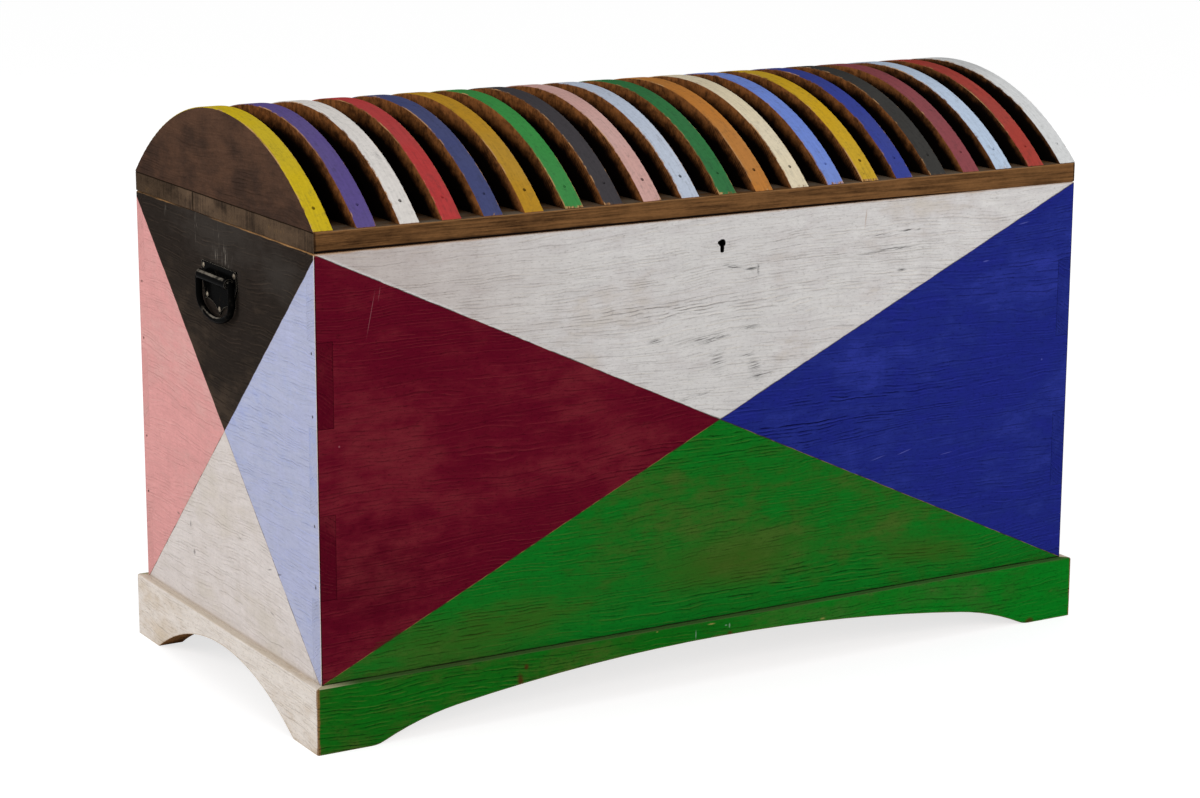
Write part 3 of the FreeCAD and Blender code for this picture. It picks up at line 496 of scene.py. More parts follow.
def worn_edges(g, paint, grain, faces, wood):
    """Wear along the case's arrises and its top edge, and grime with painted shade along its foot."""
    to_corner = g.largest(faces.to_front, faces.to_end)
    chipped = g.rise(grain.broad + (grain.mottle - 0.5), 0.5, 0.58)
    corner = g.rise(to_corner - grain.mottle * CORNER_WANDER, *CORNER_CHIP) * chipped
    paint = g.mix(corner * 0.5, paint, g.shade(wood, 0.6))
    wander = grain.mottle * ARRIS_WANDER
    paint = g.mix(g.rise(faces.to_end - wander, *SIDE_ARRIS) * faces.on_side * 0.75, paint, DARK_ARRIS)
    paint = g.mix(g.rise(faces.to_front - wander, *END_ARRIS) * faces.on_end * 0.75, paint, PALE_ARRIS)

    to_top = case_top - g.z
    top = g.rise(to_top - grain.mottle * END_TOP_WANDER, *END_TOP_EDGE) * faces.on_end
    top = top * g.rise(grain.broad + g.y * -0.5, 0.28, 0.5)
    paint = g.mix(top * 0.85, paint, g.mix(0.75, wood, WORN_EDGE))
    tan = g.rise(to_top - grain.mottle * SIDE_TOP_WANDER, *SIDE_TOP_EDGE) * faces.on_side
    paint = g.mix(tan * (0.35 + g.rise(g.x, *TOP_WORN) * 0.35), paint, TOP_TAN)

    to_foot = g.z - case_bottom + (grain.mottle - 0.5) * FOOT_WANDER
    # Along the long sides' foot, above the plinth: grime and painted shade in the crease
    paint = g.mix(g.rise(to_foot, *SIDE_FOOT) * faces.on_side * 0.85, paint, GRIME_AND_SHADE)
    return g.mix(g.rise(to_foot, *END_FOOT) * faces.on_end * 0.4, paint, FOOT_TAN)


def case_paint(name, long_board, seed, marks=None):
    """The case's boards: painted in triangles outside, with worn arrises, and bare inside."""
    g = Graph(name)
    along, depth = (g.x, g.y) if long_board else (g.y, g.x)
    grain = Grain(g, along, g.z, depth, seed)
    faces = CaseFaces(g)
    face = g.join(g.x, g.z)
    brushed = g.cloud((110, 110, 9), seed, 3.0)

    coats, to_line = case_triangles(g, faces)
    coarse = g.spots(face, COARSE_GRAIN, (grain.mottle - 0.5) * 1.4, 0.1) * faces.on_side
    paint = coated(g, grain, coats, coarse, 0.7 + faces.on_side * 0.3)
    cleaner = g.rise(g.x, *CLEANED) * faces.on_side * 0.07
    above_falling = g.rise((g.z - case_middle) / half_height + g.x / half_length, 0.0, 0.02)
    dirty = g.rise(g.x + (grain.broad - 0.5) * 0.2, *DIRTIED) * above_falling * faces.on_side
    paint = g.mix(dirty * 0.4, paint, WARM_DIRT)
    paint = g.shade(paint, 1.0 + cleaner - (brushed - 0.5) * 0.09)

    low = g.rise(g.z - case_middle, *LOW_HALF)
    score = g.mix(g.rise(grain.mottle + low * 0.08, 0.5, 0.64), SCORED_DARK, SCORED_LIGHT)
    scored = g.rise(to_line + (grain.mottle - 0.5) * SCORE_WANDER, *SCORE_WIDTH)
    paint = g.mix(scored * 0.65, paint, score)

    end_grain = faces.on_end if long_board else faces.on_side
    joint = finger_lines(g, grain, faces) * end_grain
    plain = g.rise(g.x, *JOINTS_PLAIN) * 0.6 + 0.4
    paint = g.shade(paint, 1.0 - (end_grain * plain * 0.2 + joint * 0.4) * (0.2 + faces.on_side * 0.8))
    if marks:
        paint = marks(g, paint, grain)

    wood = grain.wood(g, OLD_WOOD, OLD_WOOD_DARK)
    paint = worn_edges(g, paint, grain, faces, wood)
    inside = g.rise(g.smallest(faces.to_front, faces.to_end), *PAINT_REACH)
    colour = g.mix(inside, paint, wood)
    if marks == front_marks:
        # The keyhole's hollow is painted black as painted shade, and dark chips around it widen its dark
        # opening
        keyhole = g.spots(face, KEYHOLE_CHIPS_AND_SHADE, (grain.fibre - 0.5) * 0.2, 0.8)
        keyhole_shade = g.spots(face, KEYHOLE_SHADE, 0.0, 0.9) * g.rise(faces.to_front, *KEYHOLE_LIP)
        colour = g.mix(g.largest(keyhole, keyhole_shade), colour, NEAR_BLACK)
    height = grain.fibre * 0.3 + grain.mottle * 0.4 - grain.figure * 0.4 - scored * 0.4
    height = height - grain.line * (0.5 + coarse * 0.4) + grain.ridge * 0.3
    roughness = 0.5 + (grain.fibre - 0.5) * 0.15 + inside * 0.25
    return g.finish(colour, roughness, height - joint * 0.4, CASE_RELIEF)


# The lid's colours, and where its painted gap shadow, its wear, its dust and the painted shade between the
# ribs begin and are full
LID_LIGHT = srgb(119, 83, 50)
LID_DARK = srgb(48, 31, 18)
LID_DUST = srgb(104, 95, 83)
LID_ARRIS = srgb(150, 110, 70)
LID_END_LIGHT = srgb(96, 78, 62)
LID_END_DARK = srgb(56, 46, 38)
LID_END_PALE = srgb(132, 104, 70)
# Height and run of the painted gap shadow along the lid's lower front edge
GAP_HEIGHT = 3.0 * MM
GAP_RUN = (520 * MM, 150 * MM)
GAP_SEEN = (0.2 * MM, 1.0 * MM)
GAP_EDGE = 0.5 * MM
LID_ARRIS_WIDTH = (0.4 * MM, -0.8 * MM)
DARK_END_WIDTH = (2.4 * MM, 0.6 * MM)
LID_WANDER = 3 * MM
SEAM_WIDTH = (2.2 * MM, 1.0 * MM)
SEAM_WANDER = 1.4 * MM
# Where dust shows and the painted shade lifts, from the lid's front and back edges
RIM_DUST_AND_LIGHT_FROM = 60 * MM
RIM_DUST_AND_LIGHT_FULL = 8 * MM
LIT_END_MIDDLE = 60 * MM
LIT_END_REACH = (80 * MM, 20 * MM)
DARK_END_BACK = (100 * MM, 200 * MM)
LID_RELIEF = 0.6 * MM


def lid_stain(name, seed):
    """A board of the lid: brown stain in streaks along it, streaked end grain, dust on top, painted shade
    between the ribs, and a painted gap shadow along its lower front edge.
    """
    g = Graph(name)
    grain = Grain(g, g.x, g.y, g.z, seed)
    streak = g.cloud((8, 300, 300), seed, 4.0, 0.66)
    tone = streak * 0.7 + grain.fibre * 0.2 + grain.mottle * 0.35
    colour = g.mix(g.rise(tone - g.x * 0.06, 0.46, 0.84), LID_LIGHT, LID_DARK)
    colour = g.shade(colour, 1.0 - (grain.speck - 0.5) * 0.5)
    to_arris = g.largest(lid_top - g.z, half_depth - abs(g.y)) - grain.mottle * LID_WANDER
    colour = g.mix(g.rise(to_arris, *LID_ARRIS_WIDTH) * 0.6, colour, LID_ARRIS)

    on_face = g.rise(abs(g.facing[1]), 0.5, 0.8)
    dark_end = g.rise(half_length - abs(g.x) - grain.mottle * LID_WANDER, *DARK_END_WIDTH) * 0.7
    # A painted shadow: the lid's front is painted near black along its lower edge, for the shade of a gap
    # that narrows to nothing on the right
    gap = g.rise(g.x, *GAP_RUN) * GAP_HEIGHT
    gap_shade = g.rise(g.z - lid_bottom - gap, GAP_EDGE, -GAP_EDGE) * g.rise(gap, *GAP_SEEN)
    colour = g.mix(g.largest(dark_end, gap_shade) * on_face, colour, NEAR_BLACK)

    lying = g.rise(g.facing[2], 0.6, 0.95)
    dust_and_light_rim = g.rise(abs(g.y), half_depth - RIM_DUST_AND_LIGHT_FROM, half_depth - RIM_DUST_AND_LIGHT_FULL)
    dust = g.rise(grain.mottle + grain.broad * 0.4, 0.5, 0.82) * dust_and_light_rim
    # The lid's top is painted darker away from its front and back edges, as painted shade between the ribs;
    # near the edges the shade lifts and dust shows
    colour = g.mix(lying * dust * 0.75, g.shade(colour, 1.0 - lying * (0.75 - dust_and_light_rim * 0.45)), LID_DUST)
    below = g.rise(g.facing[2], -0.6, -0.95)
    colour = g.mix(below, colour, grain.wood(g, OLD_WOOD, OLD_WOOD_DARK))

    on_end = g.rise(abs(g.facing[0]), 0.5, 0.8)
    upright = g.cloud((9, 280, 16), seed, 4.0, 0.7)
    soft = g.cloud((5, 15, 34), seed, 4.0, 0.6)
    end = g.mix(g.rise(upright * 0.4 + soft * 0.6, 0.43, 0.65), LID_END_LIGHT, LID_END_DARK)
    pale = g.rise(soft - upright * 0.25, 0.28, 0.16) * g.rise(upright, 0.4, 0.6)
    end = g.mix(pale * 0.4, end, LID_END_PALE)
    by_seam = g.rise(abs(g.y - LIT_END_MIDDLE), *LIT_END_REACH) * 0.24
    at_back = g.rise(g.y, *DARK_END_BACK) * 0.24
    end = g.shade(end, 0.76 + by_seam - at_back - (grain.speck - 0.5) * 0.8)
    to_seam = g.smallest(abs(g.y - lid_seam), lid_top - g.z)
    end = g.mix(g.rise(to_seam + (grain.mottle - 0.5) * SEAM_WANDER, *SEAM_WIDTH) * 0.9, end, GRIME_AND_SHADE)
    colour = g.mix(on_end, colour, end)
    height = streak * 0.4 + grain.fibre * 0.4 + upright * on_end * 0.4
    return g.finish(colour, 0.6 + (grain.fibre - 0.5) * 0.2, height, LID_RELIEF)


# The ribs' nails, coats and rough sides, and the painted shade that blackens the sides inward: where each
# begins and is full, and their colours
NAIL_FROM_FACE = 25 * MM
NAIL_PATCH = (4 * MM, 3 * MM)
NAIL_HOLE = (2.2 * MM, 1.7 * MM)
NAIL_DEPTH = 3 * MM
COAT_DEPTH = 1.0 * MM
COAT_EDGE = 0.3 * MM
COAT_WANDER = 0.6 * MM
SIDE_SHADE_REACH = (7 * MM, 25 * MM)
BAND_RAGGED = 10 * MM
BAND_WANDER = 16 * MM
BAND_NARROWING = 14 * MM
SAW_PITCH = 0.55 * MM
CROWN_REACH = (140 * MM, 40 * MM)
CROWN_DULLING = 0.22
RIB_ARRIS = (0.0, -0.6 * MM)
RIB_ARRIS_WANDER = 2.4 * MM
TOE_WORN = (2.4 * MM, 0.8 * MM)
RIB_RELIEF = 0.6 * MM
SIDE_LIGHT = srgb(152, 96, 52)
SIDE_DARK = srgb(70, 42, 23)
SIDE_SHADE_BLACK = srgb(17, 11, 8)
PANEL_LIGHT = srgb(84, 61, 48)
PANEL_DARK = srgb(59, 45, 38)
RIB_BARE_LIGHT = srgb(186, 144, 98)
RIB_BARE_DARK = srgb(112, 74, 44)


def rib_paint(name, paint, seed, panel, bare_nails):
    """A rib: paint on its curved edge, worn off along the arrises, over rough sides painted black inward as
    painted shade between the ribs, partly a dark stain.

    The panel is -1 or 1 where the rib's left or right side is the end of the lid, and 0 elsewhere.
    Where the nails are bare, their holes are painted black, as painted shade in the holes.
    """
    low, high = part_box(name)
    g = Graph(f"{name}_paint")
    up = g.z - rib_centre
    below = rib_radius - g.math("SQRT", g.y * g.y + up * up)
    turn = g.math("ARCTAN2", g.y, up) * rib_radius
    aside = abs(g.x - (low.x + high.x) / 2)
    to_arris = rib_half_thickness - aside
    to_toe = rib_half_turn - abs(turn)
    point = g.join(turn, g.x, below)
    brushed = g.cloud((20, 420, 30), seed, 3.0, 0.6, point)
    mottle = g.cloud((70, 110, 110), seed, 4.0, 0.62, point)
    broad = g.cloud((9, 9, 9), seed, 3.0, 0.55, point)

    coat = g.mix(g.rise(broad, 0.4, 0.65), paint.coat, paint.patch)
    speckle = g.cloud((210, 210, 210), seed, 3.0, 0.65, point)
    coat = g.mix(g.rise(brushed * 0.3 + mottle * 0.4 + speckle * 0.3, 0.5, 0.66) * 0.8, coat, paint.thin)
    to_right = (low.x + half_length) / (2 * half_length)
    crown = g.rise(abs(turn), *CROWN_REACH) * (CROWN_DULLING * to_right)
    coat = g.shade(coat, 1.0 - crown - (brushed - 0.5) * 0.3 - (speckle - 0.5) * 0.3)
    coat = g.mix(g.rise(mottle, 0.68, 0.76) * 0.6, coat, paint.line)

    rough = g.cloud((240, 90, 110), seed, 4.0, 0.65, point)
    sawn = g.math("SINE", turn / SAW_PITCH + mottle * 6) * g.rise(broad, 0.5, 0.62)
    tone = rough * 0.3 + mottle * 0.4 + broad * 0.3 + sawn * 0.05
    band = g.mix(g.rise(tone, 0.36, 0.64), SIDE_LIGHT, SIDE_DARK)
    # Painted shade: the sides turn black inward from the painted edge, partly a dark stain; the lit band
    # narrows towards the toes and on the right ribs
    reach = below + (mottle - 0.5) * BAND_RAGGED + (broad - 0.5) * BAND_WANDER + abs(turn) * 0.02
    reach = reach + BAND_NARROWING * to_right ** 4
    wood = g.mix(g.rise(reach, *SIDE_SHADE_REACH), band, SIDE_SHADE_BLACK)
    if panel:
        grain = Grain(g, g.y, g.z, g.x, seed)
        patchy = g.rise(grain.broad * 0.6 + grain.mottle * 0.5, 0.4, 0.68)
        stain = g.mix(patchy, PANEL_LIGHT, PANEL_DARK)
        lined = grain.line * g.rise(grain.broad, 0.44, 0.6) * 0.4
        fine = (grain.fibre - 0.5) * 0.6 + (grain.speck - 0.5) * 0.5 + (grain.figure - 0.5) * 0.4
        stain = g.shade(stain, 1.0 - lined - fine)
        wood = g.mix(g.rise(g.facing[0] * panel, 0.3, 0.7), wood, stain)

    worn = g.rise(broad + (mottle - 0.5) * 0.8, 0.46, 0.62)
    bare = g.rise(to_arris - (mottle * 0.5 + broad * 0.5) * RIB_ARRIS_WANDER, *RIB_ARRIS) * worn
    bare = g.largest(bare, g.rise(to_toe, *TOE_WORN) * g.rise(mottle + broad, 1.06, 1.16))
    bare_wood = g.mix(g.rise(brushed, 0.42, 0.6), RIB_BARE_LIGHT, RIB_BARE_DARK)
    coat = g.mix(bare * 0.9, coat, bare_wood)
    along_nail = abs(abs(g.y) - (half_depth - NAIL_FROM_FACE))
    at_nail = g.rise(g.largest(along_nail, aside), *NAIL_PATCH)
    depth = COAT_DEPTH + at_nail * NAIL_DEPTH
    painted = g.rise(below + (mottle - 0.5) * COAT_WANDER - depth, COAT_EDGE, -COAT_EDGE)
    colour = g.mix(painted, wood, coat)
    if bare_nails:
        # Painted shade: the bare nails' holes are painted near black
        from_nail = g.math("SQRT", along_nail * along_nail + aside * aside)
        colour = g.mix(g.rise(from_nail, *NAIL_HOLE), colour, GRIME_AND_SHADE)
    height = g.between(painted, rough * 0.9, brushed * 0.35) + mottle * 0.3
    return g.finish(colour, 0.7 - painted * 0.2, height, RIB_RELIEF)


# Marks of use on the front of the plinth, and its wear and their colours
PLINTH_STAIN = (Mark(-290, 48, 6, 12, 8), Mark(-282, 64, 4, 5), Mark(12, 61, 6, 4), Mark(492, 2, 9, 5))
PLINTH_DRIPS = (Mark(-39, 66, 0.9, 8), Mark(11, 71, 1.6, 4), Mark(6, 72, 2.4, 1.2))
PLINTH_CHIPS = (Mark(-16, 77, 8, 1.4), Mark(154, 58, 7, 2.4), Mark(-96, 79, 3, 1.0))
STAIN_RED = srgb(72, 34, 18)
DRIP_PALE = srgb(170, 190, 176)
CHIP_TAN = srgb(168, 144, 84)
LEDGE_DUST = srgb(196, 184, 152)
GREEN_EDGE = srgb(92, 92, 66)
WHITE_EDGE = srgb(200, 182, 154)
PLINTH_CLEANED = (-200 * MM, 350 * MM)
PLINTH_COARSE = (100 * MM, -400 * MM)
PLAIN_COARSE = 0.12
LEDGE_END = (60 * MM, 8 * MM)
PLINTH_CHIP = (0.4 * MM, -0.8 * MM)
PLINTH_CHIP_WANDER = 5 * MM
PLINTH_PAINT_REACH = (12 * MM, 14 * MM)
PLINTH_WEAR = 3.5 * MM
PLINTH_RELIEF = 0.8 * MM
DIRTY_GREEN = Paint(srgb(14, 96, 20), srgb(28, 88, 20), srgb(72, 94, 36), srgb(9, 40, 10))


def edge_wear(g, noise, radius):
    """1 along a piece's edges and 0 on its faces, unevenly worn."""
    rounded = g.tree.nodes.new("ShaderNodeBevel")
    rounded.samples = 6
    rounded.inputs["Radius"].default_value = radius
    flat = g.tree.nodes.new("ShaderNodeNewGeometry")
    turned = g.tree.nodes.new("ShaderNodeVectorMath")
    turned.operation = "DOT_PRODUCT"
    g.feed(turned.inputs[0], rounded.outputs[0])
    g.feed(turned.inputs[1], flat.outputs["Normal"])
    edge = 1.0 - Wire(g, turned.outputs["Value"])
    return g.rise(edge + (noise - 0.5) * 0.36, 0.05, 0.17)


def plinth_paint(name, paint, edge_colour, seed, long_board, front=False):
    """A plinth board: paint outside and on top, worn arrises, and bare wood under the arch and inside."""
    g = Graph(name)
    along, depth = (g.x, g.y) if long_board else (g.y, g.x)
    grain = Grain(g, along, g.z, depth, seed)
    to_front = plinth_half_depth - abs(g.y)
    to_end = plinth_half_length - abs(g.x)
    inward = g.smallest(to_front, to_end)
    coats = paint
    if long_board:
        cleaner = g.rise(g.x + (grain.broad - 0.5) * 0.8, *PLINTH_CLEANED)
        coats = [g.mix(cleaner, *pair) for pair in zip(DIRTY_GREEN, paint)]
    coarse = g.rise(g.x, *PLINTH_COARSE) * 0.4 + PLAIN_COARSE if long_board else PLAIN_COARSE
    coat = coated(g, grain, coats, coarse)
    if front:
        face = g.join(g.x, g.z)
        ragged = (grain.mottle - 0.5) * 1.4
        coat = g.mix(g.spots(face, PLINTH_STAIN, ragged, 0.2) * 0.8, coat, STAIN_RED)
        coat = g.mix(g.spots(face, PLINTH_DRIPS, ragged * 0.8, 0.2) * 0.4, coat, DRIP_PALE)
        coat = g.mix(g.spots(face, PLINTH_CHIPS, ragged, 0.1) * 0.7, coat, CHIP_TAN)

    wood = grain.wood(g, OLD_WOOD, OLD_WOOD_DARK)
    coat = g.mix(edge_wear(g, grain.mottle, PLINTH_WEAR) * 0.75, coat, g.mix(0.35, edge_colour, wood))
    lying = g.rise(g.facing[2], 0.6, 0.9)
    coat = g.mix(lying * 0.4, coat, edge_colour)
    if long_board:
        near_end = g.rise(g.x + plinth_half_length, *LEDGE_END)
        coat = g.mix(lying * near_end * 0.7, coat, LEDGE_DUST)
    to_corner = g.largest(to_front, to_end)
    chipped = g.rise(to_corner - grain.mottle * PLINTH_CHIP_WANDER, *PLINTH_CHIP)
    coat = g.mix(chipped * 0.8, coat, g.shade(wood, 0.7))
    under = g.rise(g.facing[2], -0.25, -0.6)
    inside = g.largest(g.rise(inward, *PLINTH_PAINT_REACH), under)
    colour = g.mix(inside, coat, wood)
    height = grain.fibre * 0.4 + grain.mottle * 0.35 - grain.line * 0.6
    return g.finish(colour, 0.5 + inside * 0.25, height, PLINTH_RELIEF)


PALE_WOOD = srgb(180, 138, 92)
PALE_WOOD_DARK = srgb(116, 78, 46)
WOOD_RELIEF = 0.5 * MM


def plain_wood(name, along_axis, seed):
    """Unpainted boards inside the chest."""
    g = Graph(name)
    along, across = (g.x, g.y) if along_axis == "x" else (g.y, g.x)
    grain = Grain(g, along, across, g.z, seed)
    colour = grain.wood(g, PALE_WOOD, PALE_WOOD_DARK)
    colour = g.mix(g.rise(grain.mottle + grain.broad, 0.95, 1.25) * 0.6, colour, WOOD_STAIN)
    return g.finish(colour, 0.7, grain.fibre * 0.5 - grain.line * 0.5, WOOD_RELIEF)


JAPAN_BLACK = srgb(6, 6, 6)
JAPAN_BROWN = srgb(22, 17, 13)
RUBBED_METAL_GLINT = srgb(138, 130, 118)
JAPAN_EDGE_WEAR_AND_GLINT = 1.0 * MM
JAPAN_RELIEF = 0.1 * MM
RUST = srgb(96, 54, 30)
IRON_METAL = 0.75
IRON_RELIEF = 0.2 * MM


def japanned(name):
    """Black varnish on iron, rubbed to grey metal on its edges and where it faces up and outward; that grey
    is partly wear and partly a painted highlight.
    """
    g = Graph(name)
    grain = g.cloud((160, 160, 160), 1.0, 4.0)
    broad = g.cloud((40, 40, 40), 2.0)
    colour = g.mix(g.rise(grain * 0.6 + broad * 0.4, 0.56, 0.7), JAPAN_BLACK, JAPAN_BROWN)
    # Grey on the edges and on faces turned up and outward: rubbed metal, and also a painted highlight where
    # the gloss would catch the light
    outward = abs(g.facing[0]) * 0.62 + g.facing[2] * 0.78
    rubbed = g.rise(outward + (grain - 0.5) * 0.1, 0.93, 0.99) * g.rise(broad, 0.36, 0.54)
    worn = g.largest(rubbed, edge_wear(g, broad, JAPAN_EDGE_WEAR_AND_GLINT))
    colour = g.mix(worn * 0.7, colour, RUBBED_METAL_GLINT)
    g.shader.inputs["Specular IOR Level"].default_value = VARNISH_GLOSS
    return g.finish(colour, 0.12 + grain * 0.16, grain, JAPAN_RELIEF)


def iron(name, light, dark, rust):
    """Old iron, dull and pitted, with some rust."""
    g = Graph(name)
    grain = g.cloud((220, 220, 220), 3.0, 4.0)
    broad = g.cloud((50, 50, 50), 4.0, 4.0)
    colour = g.mix(g.rise(grain, 0.35, 0.65), light, dark)
    colour = g.mix(g.rise(broad, 0.5, 0.7) * rust, colour, RUST)
    g.shader.inputs["Metallic"].default_value = IRON_METAL
    return g.finish(colour, 0.4 + grain * 0.3, grain, IRON_RELIEF)


# The brightness of a rib's coat, patches, rubbed places and specks, and how far each is drawn to grey
COAT_SHADES = (0.96, 0.975, 0.86, 0.5)
SHADE_GREYING = (-0.08, 0.04, 0.14, 0.2)


def rib_coat(red, green, blue):
    """A rib's paint, with its patches, rubbed places and specks as darker and duller shades of one colour."""
    grey = (red + green + blue) / 3
    shades = []
    for share, dull in zip(COAT_SHADES, SHADE_GREYING):
        parts = [(part + (grey - part) * dull) * share for part in (red, green, blue)]
        shades.append(srgb(*(max(0, min(255, part)) for part in parts)))
    return Paint(*shades)


RIB_COATS = (
    rib_coat(197, 172, 41),
    rib_coat(93, 80, 134),
    rib_coat(220, 215, 210),
    rib_coat(174, 64, 64),
    rib_coat(71, 76, 114),
    rib_coat(177, 135, 48),
    rib_coat(63, 135, 71),
    rib_coat(67, 64, 67),
    rib_coat(202, 162, 155),
    rib_coat(187, 196, 212),
    rib_coat(55, 114, 68),
    rib_coat(184, 123, 63),
    rib_coat(223, 210, 182),
    rib_coat(117, 140, 209),
    rib_coat(199, 161, 46),
    rib_coat(61, 71, 145),
    rib_coat(63, 62, 60),
    rib_coat(139, 77, 82),
    rib_coat(190, 206, 227),
    rib_coat(165, 70, 62),
    rib_coat(221, 222, 222),
)
BARE_NAILS = (1, 3, 6, 9, 10, 12, 13, 15)


def rib_nail_heads(name):
    """Nails that were painted over with their ribs, apart from a few whose dark heads show."""
    g = Graph(name)
    grain = g.cloud((400, 400, 400), 5.0)
    ramp = g.tree.nodes.new("ShaderNodeValToRGB")
    ramp.color_ramp.interpolation = "CONSTANT"
    stops = ramp.color_ramp.elements
    for index, paint in enumerate(RIB_COATS):
        low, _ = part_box(f"rib_{index + 1:02d}")
        share = (low.x + half_length) / (2 * half_length)
        stop = stops[0] if index == 0 else stops.new(share)
        stop.position = share
        stop.color = GRIME_AND_SHADE if index + 1 in BARE_NAILS else paint.thin
    stops.remove(stops[len(stops) - 1])
    g.feed(ramp.inputs[0], (g.x + half_length) / (2 * half_length))
    colour = g.shade(ramp.outputs[0], 0.7 + grain * 0.4)
    return g.finish(colour, 0.6, grain, IRON_RELIEF)


def dress(names, material):
    """Gives each named node one material in all its slots."""
    for name in names:
        slots = nodes[name].data.materials
        slots.clear()
        slots.append(material)


CASE_BOARDS = (
    ("front_board", True, front_marks),
    ("back_board", True, None),
    ("left_end_board", False, end_marks),
    ("right_end_board", False, None),
)
PLINTH_BOARDS = (
    ("front_plinth", PLINTH_GREEN_LIT, GREEN_EDGE, True),
    ("back_plinth", PLINTH_GREEN_LIT, GREEN_EDGE, True),
    ("left_plinth", PLINTH_WHITE, WHITE_EDGE, False),
    ("right_plinth", PLINTH_WHITE, WHITE_EDGE, False),
)


BOTTOM_BOARDS = 5

# Where each board's grain starts: steps from one board to the next, and single starts
CASE_SEED = 3.37
PLINTH_SEED = 5.19
RIB_SEED = 4.73
LID_FRONT_SEED = 2.4
LID_BACK_SEED = 7.9
BOTTOM_SEED = 1.7
LEDGER_SEED = 6.1

# Iron: its light and dark tones, and its share of rust
DARK_IRON = (srgb(96, 90, 84), srgb(52, 46, 42), 0.7)
LOCK_STEEL = (srgb(150, 145, 138), srgb(96, 90, 84), 0.4)
# Worn screw heads, pale partly as a painted highlight for their glints
WORN_GLINTING_SCREWS = (srgb(140, 130, 115), srgb(82, 73, 62), 0.2)


def dress_chest():
    """Every node's finish."""
    for index, (name, long_board, marks) in enumerate(CASE_BOARDS):
        dress([name], case_paint(f"{name}_paint", long_board, CASE_SEED * (index + 1), marks))
    for index, (name, paint, edge, long_board) in enumerate(PLINTH_BOARDS):
        seed = PLINTH_SEED * (index + 1)
        dress([name], plinth_paint(f"{name}_paint", paint, edge, seed, long_board, name == "front_plinth"))
    dress(["lid_front_board"], lid_stain("lid_front_stain", LID_FRONT_SEED))
    dress(["lid_back_board"], lid_stain("lid_back_stain", LID_BACK_SEED))
    for index, paint in enumerate(RIB_COATS):
        name = f"rib_{index + 1:02d}"
        panel = {0: -1, len(RIB_COATS) - 1: 1}.get(index, 0)
        bare_nails = index + 1 in BARE_NAILS
        dress([name], rib_paint(name, paint, RIB_SEED * (index + 1), panel, bare_nails))
    dress(["rib_nails"], rib_nail_heads("rib_nail_heads"))
    bottom = [f"bottom_board_{index + 1}" for index in range(BOTTOM_BOARDS)]
    dress(bottom, plain_wood("bottom_wood", "y", BOTTOM_SEED))
    ledgers = ["front_ledger", "back_ledger", "plinth_corner_blocks"]
    dress(ledgers, plain_wood("ledger_wood", "x", LEDGER_SEED))
    black = japanned("black_japan")
    dark = iron("dark_iron", *DARK_IRON)
    steel = iron("lock_steel", *LOCK_STEEL)
    for side in ("left", "right"):
        dress([f"{side}_handle_plate", f"{side}_handle_bail"], black)
        dress([f"{side}_hinge_case_leaf", f"{side}_hinge_lid_leaf", f"{side}_hinge_pin"], dark)
    dress(["handle_screws"], iron("worn_glinting_screws", *WORN_GLINTING_SCREWS))
    dress(["corner_nails", "floor_nails", "case_screws", "lid_screws"], dark)
    dress(["lock_case", "lock_bolt", "lock_key_pin", "lock_spring", "lock_link_plate"], steel)


# The studio: a floor and a sky that show white and light the chest gently
FLOOR_SIZE = 60.0
FLOOR_COLOUR = (0.86, 0.86, 0.86, 1.0)
FLOOR_SEEN = (0.48, 0.48, 0.48, 1.0)
FLOOR_GLOW = 0.72
SKY_STRENGTH = 0.55


def seen_directly(tree):
    """1 for rays that show the background itself, in the picture or in a gloss."""
    path = tree.nodes.new("ShaderNodeLightPath")
    total = None
    for name in ("Is Camera Ray", "Is Glossy Ray", "Is Transmission Ray"):
        if total is None:
            total = path.outputs[name]
            continue
        node = tree.nodes.new("ShaderNodeMath")
        node.operation = "MAXIMUM"
        tree.links.new(total, node.inputs[0])
        tree.links.new(path.outputs[name], node.inputs[1])
        total = node.outputs[0]
    return total


def make_floor():
    """A wide pale floor."""
    half = FLOOR_SIZE / 2
    corners = [(-half, -half, 0), (half, -half, 0), (half, half, 0), (-half, half, 0)]
    mesh = bpy.data.meshes.new("floor")
    mesh.from_pydata(corners, [], [(0, 1, 2, 3)])
    floor = bpy.data.objects.new("floor", mesh)
    bpy.context.scene.collection.objects.link(floor)
    material = bpy.data.materials.new("floor_white")
    material.use_nodes = True
    tree = material.node_tree
    tree.nodes.clear()
    plain = tree.nodes.new("ShaderNodeBsdfDiffuse")
    plain.inputs["Color"].default_value = FLOOR_COLOUR
    seen = tree.nodes.new("ShaderNodeBsdfDiffuse")
    seen.inputs["Color"].default_value = FLOOR_SEEN
    glow = tree.nodes.new("ShaderNodeEmission")
    glow.inputs["Strength"].default_value = FLOOR_GLOW
    white = tree.nodes.new("ShaderNodeAddShader")
    tree.links.new(seen.outputs[0], white.inputs[0])
    tree.links.new(glow.outputs[0], white.inputs[1])
    pick = tree.nodes.new("ShaderNodeMixShader")
    tree.links.new(seen_directly(tree), pick.inputs[0])
    tree.links.new(plain.outputs[0], pick.inputs[1])
    tree.links.new(white.outputs[0], pick.inputs[2])
    output = tree.nodes.new("ShaderNodeOutputMaterial")
    tree.links.new(pick.outputs[0], output.inputs["Surface"])
    mesh.materials.append(material)


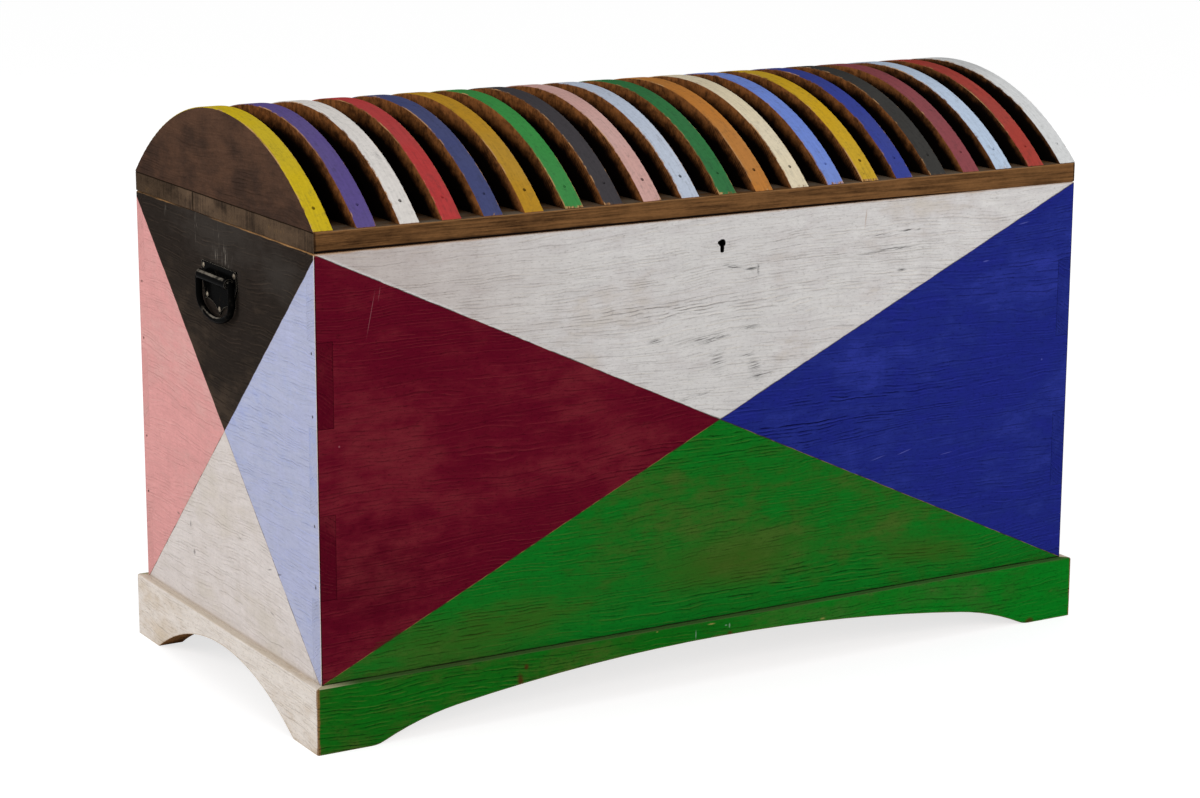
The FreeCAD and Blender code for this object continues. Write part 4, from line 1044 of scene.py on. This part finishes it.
def make_sky():
    """A white sky, which lights the chest more gently than it shows."""
    world = bpy.data.worlds.new("studio")
    bpy.context.scene.world = world
    world.use_nodes = True
    tree = world.node_tree
    background = tree.nodes["Background"]
    background.inputs["Color"].default_value = WHITE
    strength = tree.nodes.new("ShaderNodeMix")
    tree.links.new(seen_directly(tree), strength.inputs[0])
    strength.inputs[2].default_value = SKY_STRENGTH
    strength.inputs[3].default_value = 1.0
    tree.links.new(strength.outputs[0], background.inputs["Strength"])


LAMP_AIM = (0.0, 0.0, 0.4)
LAMP_SIZE = 2.6
LAMPS = (
    ("key", (0.3, -4.3, 2.3), 78.0),
    ("fill", (-4.4, 0.3, 2.3), 84.0),
    ("back", (3.2, 3.4, 2.4), 34.0),
)


def make_lamp(name, place, power):
    """A square soft light that faces the chest."""
    lamp = bpy.data.lights.new(name, "AREA")
    lamp.shape = "SQUARE"
    lamp.size = LAMP_SIZE
    lamp.energy = power
    holder = bpy.data.objects.new(name, lamp)
    holder.location = place
    holder.rotation_euler = (Vector(LAMP_AIM) - Vector(place)).to_track_quat("-Z", "Y").to_euler()
    bpy.context.scene.collection.objects.link(holder)


# The camera, fitted to the chest's corners
CAMERA_PLACE = (-1.950, -3.277, 1.190)
CAMERA_LOOK = (0.49528822, 0.83906996, -0.22505817)
CAMERA_RIGHT = (0.86155739, -0.50764876, 0.00340536)
CAMERA_LENS = 88.98
CAMERA_SENSOR = 36.0


def make_camera():
    """The camera where the photographer stood, turned by its three axes."""
    look = Vector(CAMERA_LOOK).normalized()
    right = Vector(CAMERA_RIGHT).normalized()
    up = right.cross(look)
    turn = Matrix((right, up, -look)).transposed().to_4x4()
    lens = bpy.data.cameras.new("camera")
    lens.lens = CAMERA_LENS
    lens.sensor_width = CAMERA_SENSOR
    camera = bpy.data.objects.new("camera", lens)
    camera.matrix_world = Matrix.Translation(CAMERA_PLACE) @ turn
    bpy.context.scene.collection.objects.link(camera)
    bpy.context.scene.camera = camera


dress_chest()
make_floor()
make_sky()
for lamp_name, lamp_place, lamp_power in LAMPS:
    make_lamp(lamp_name, lamp_place, lamp_power)
make_camera()
bpy.context.scene.view_settings.view_transform = "Standard"
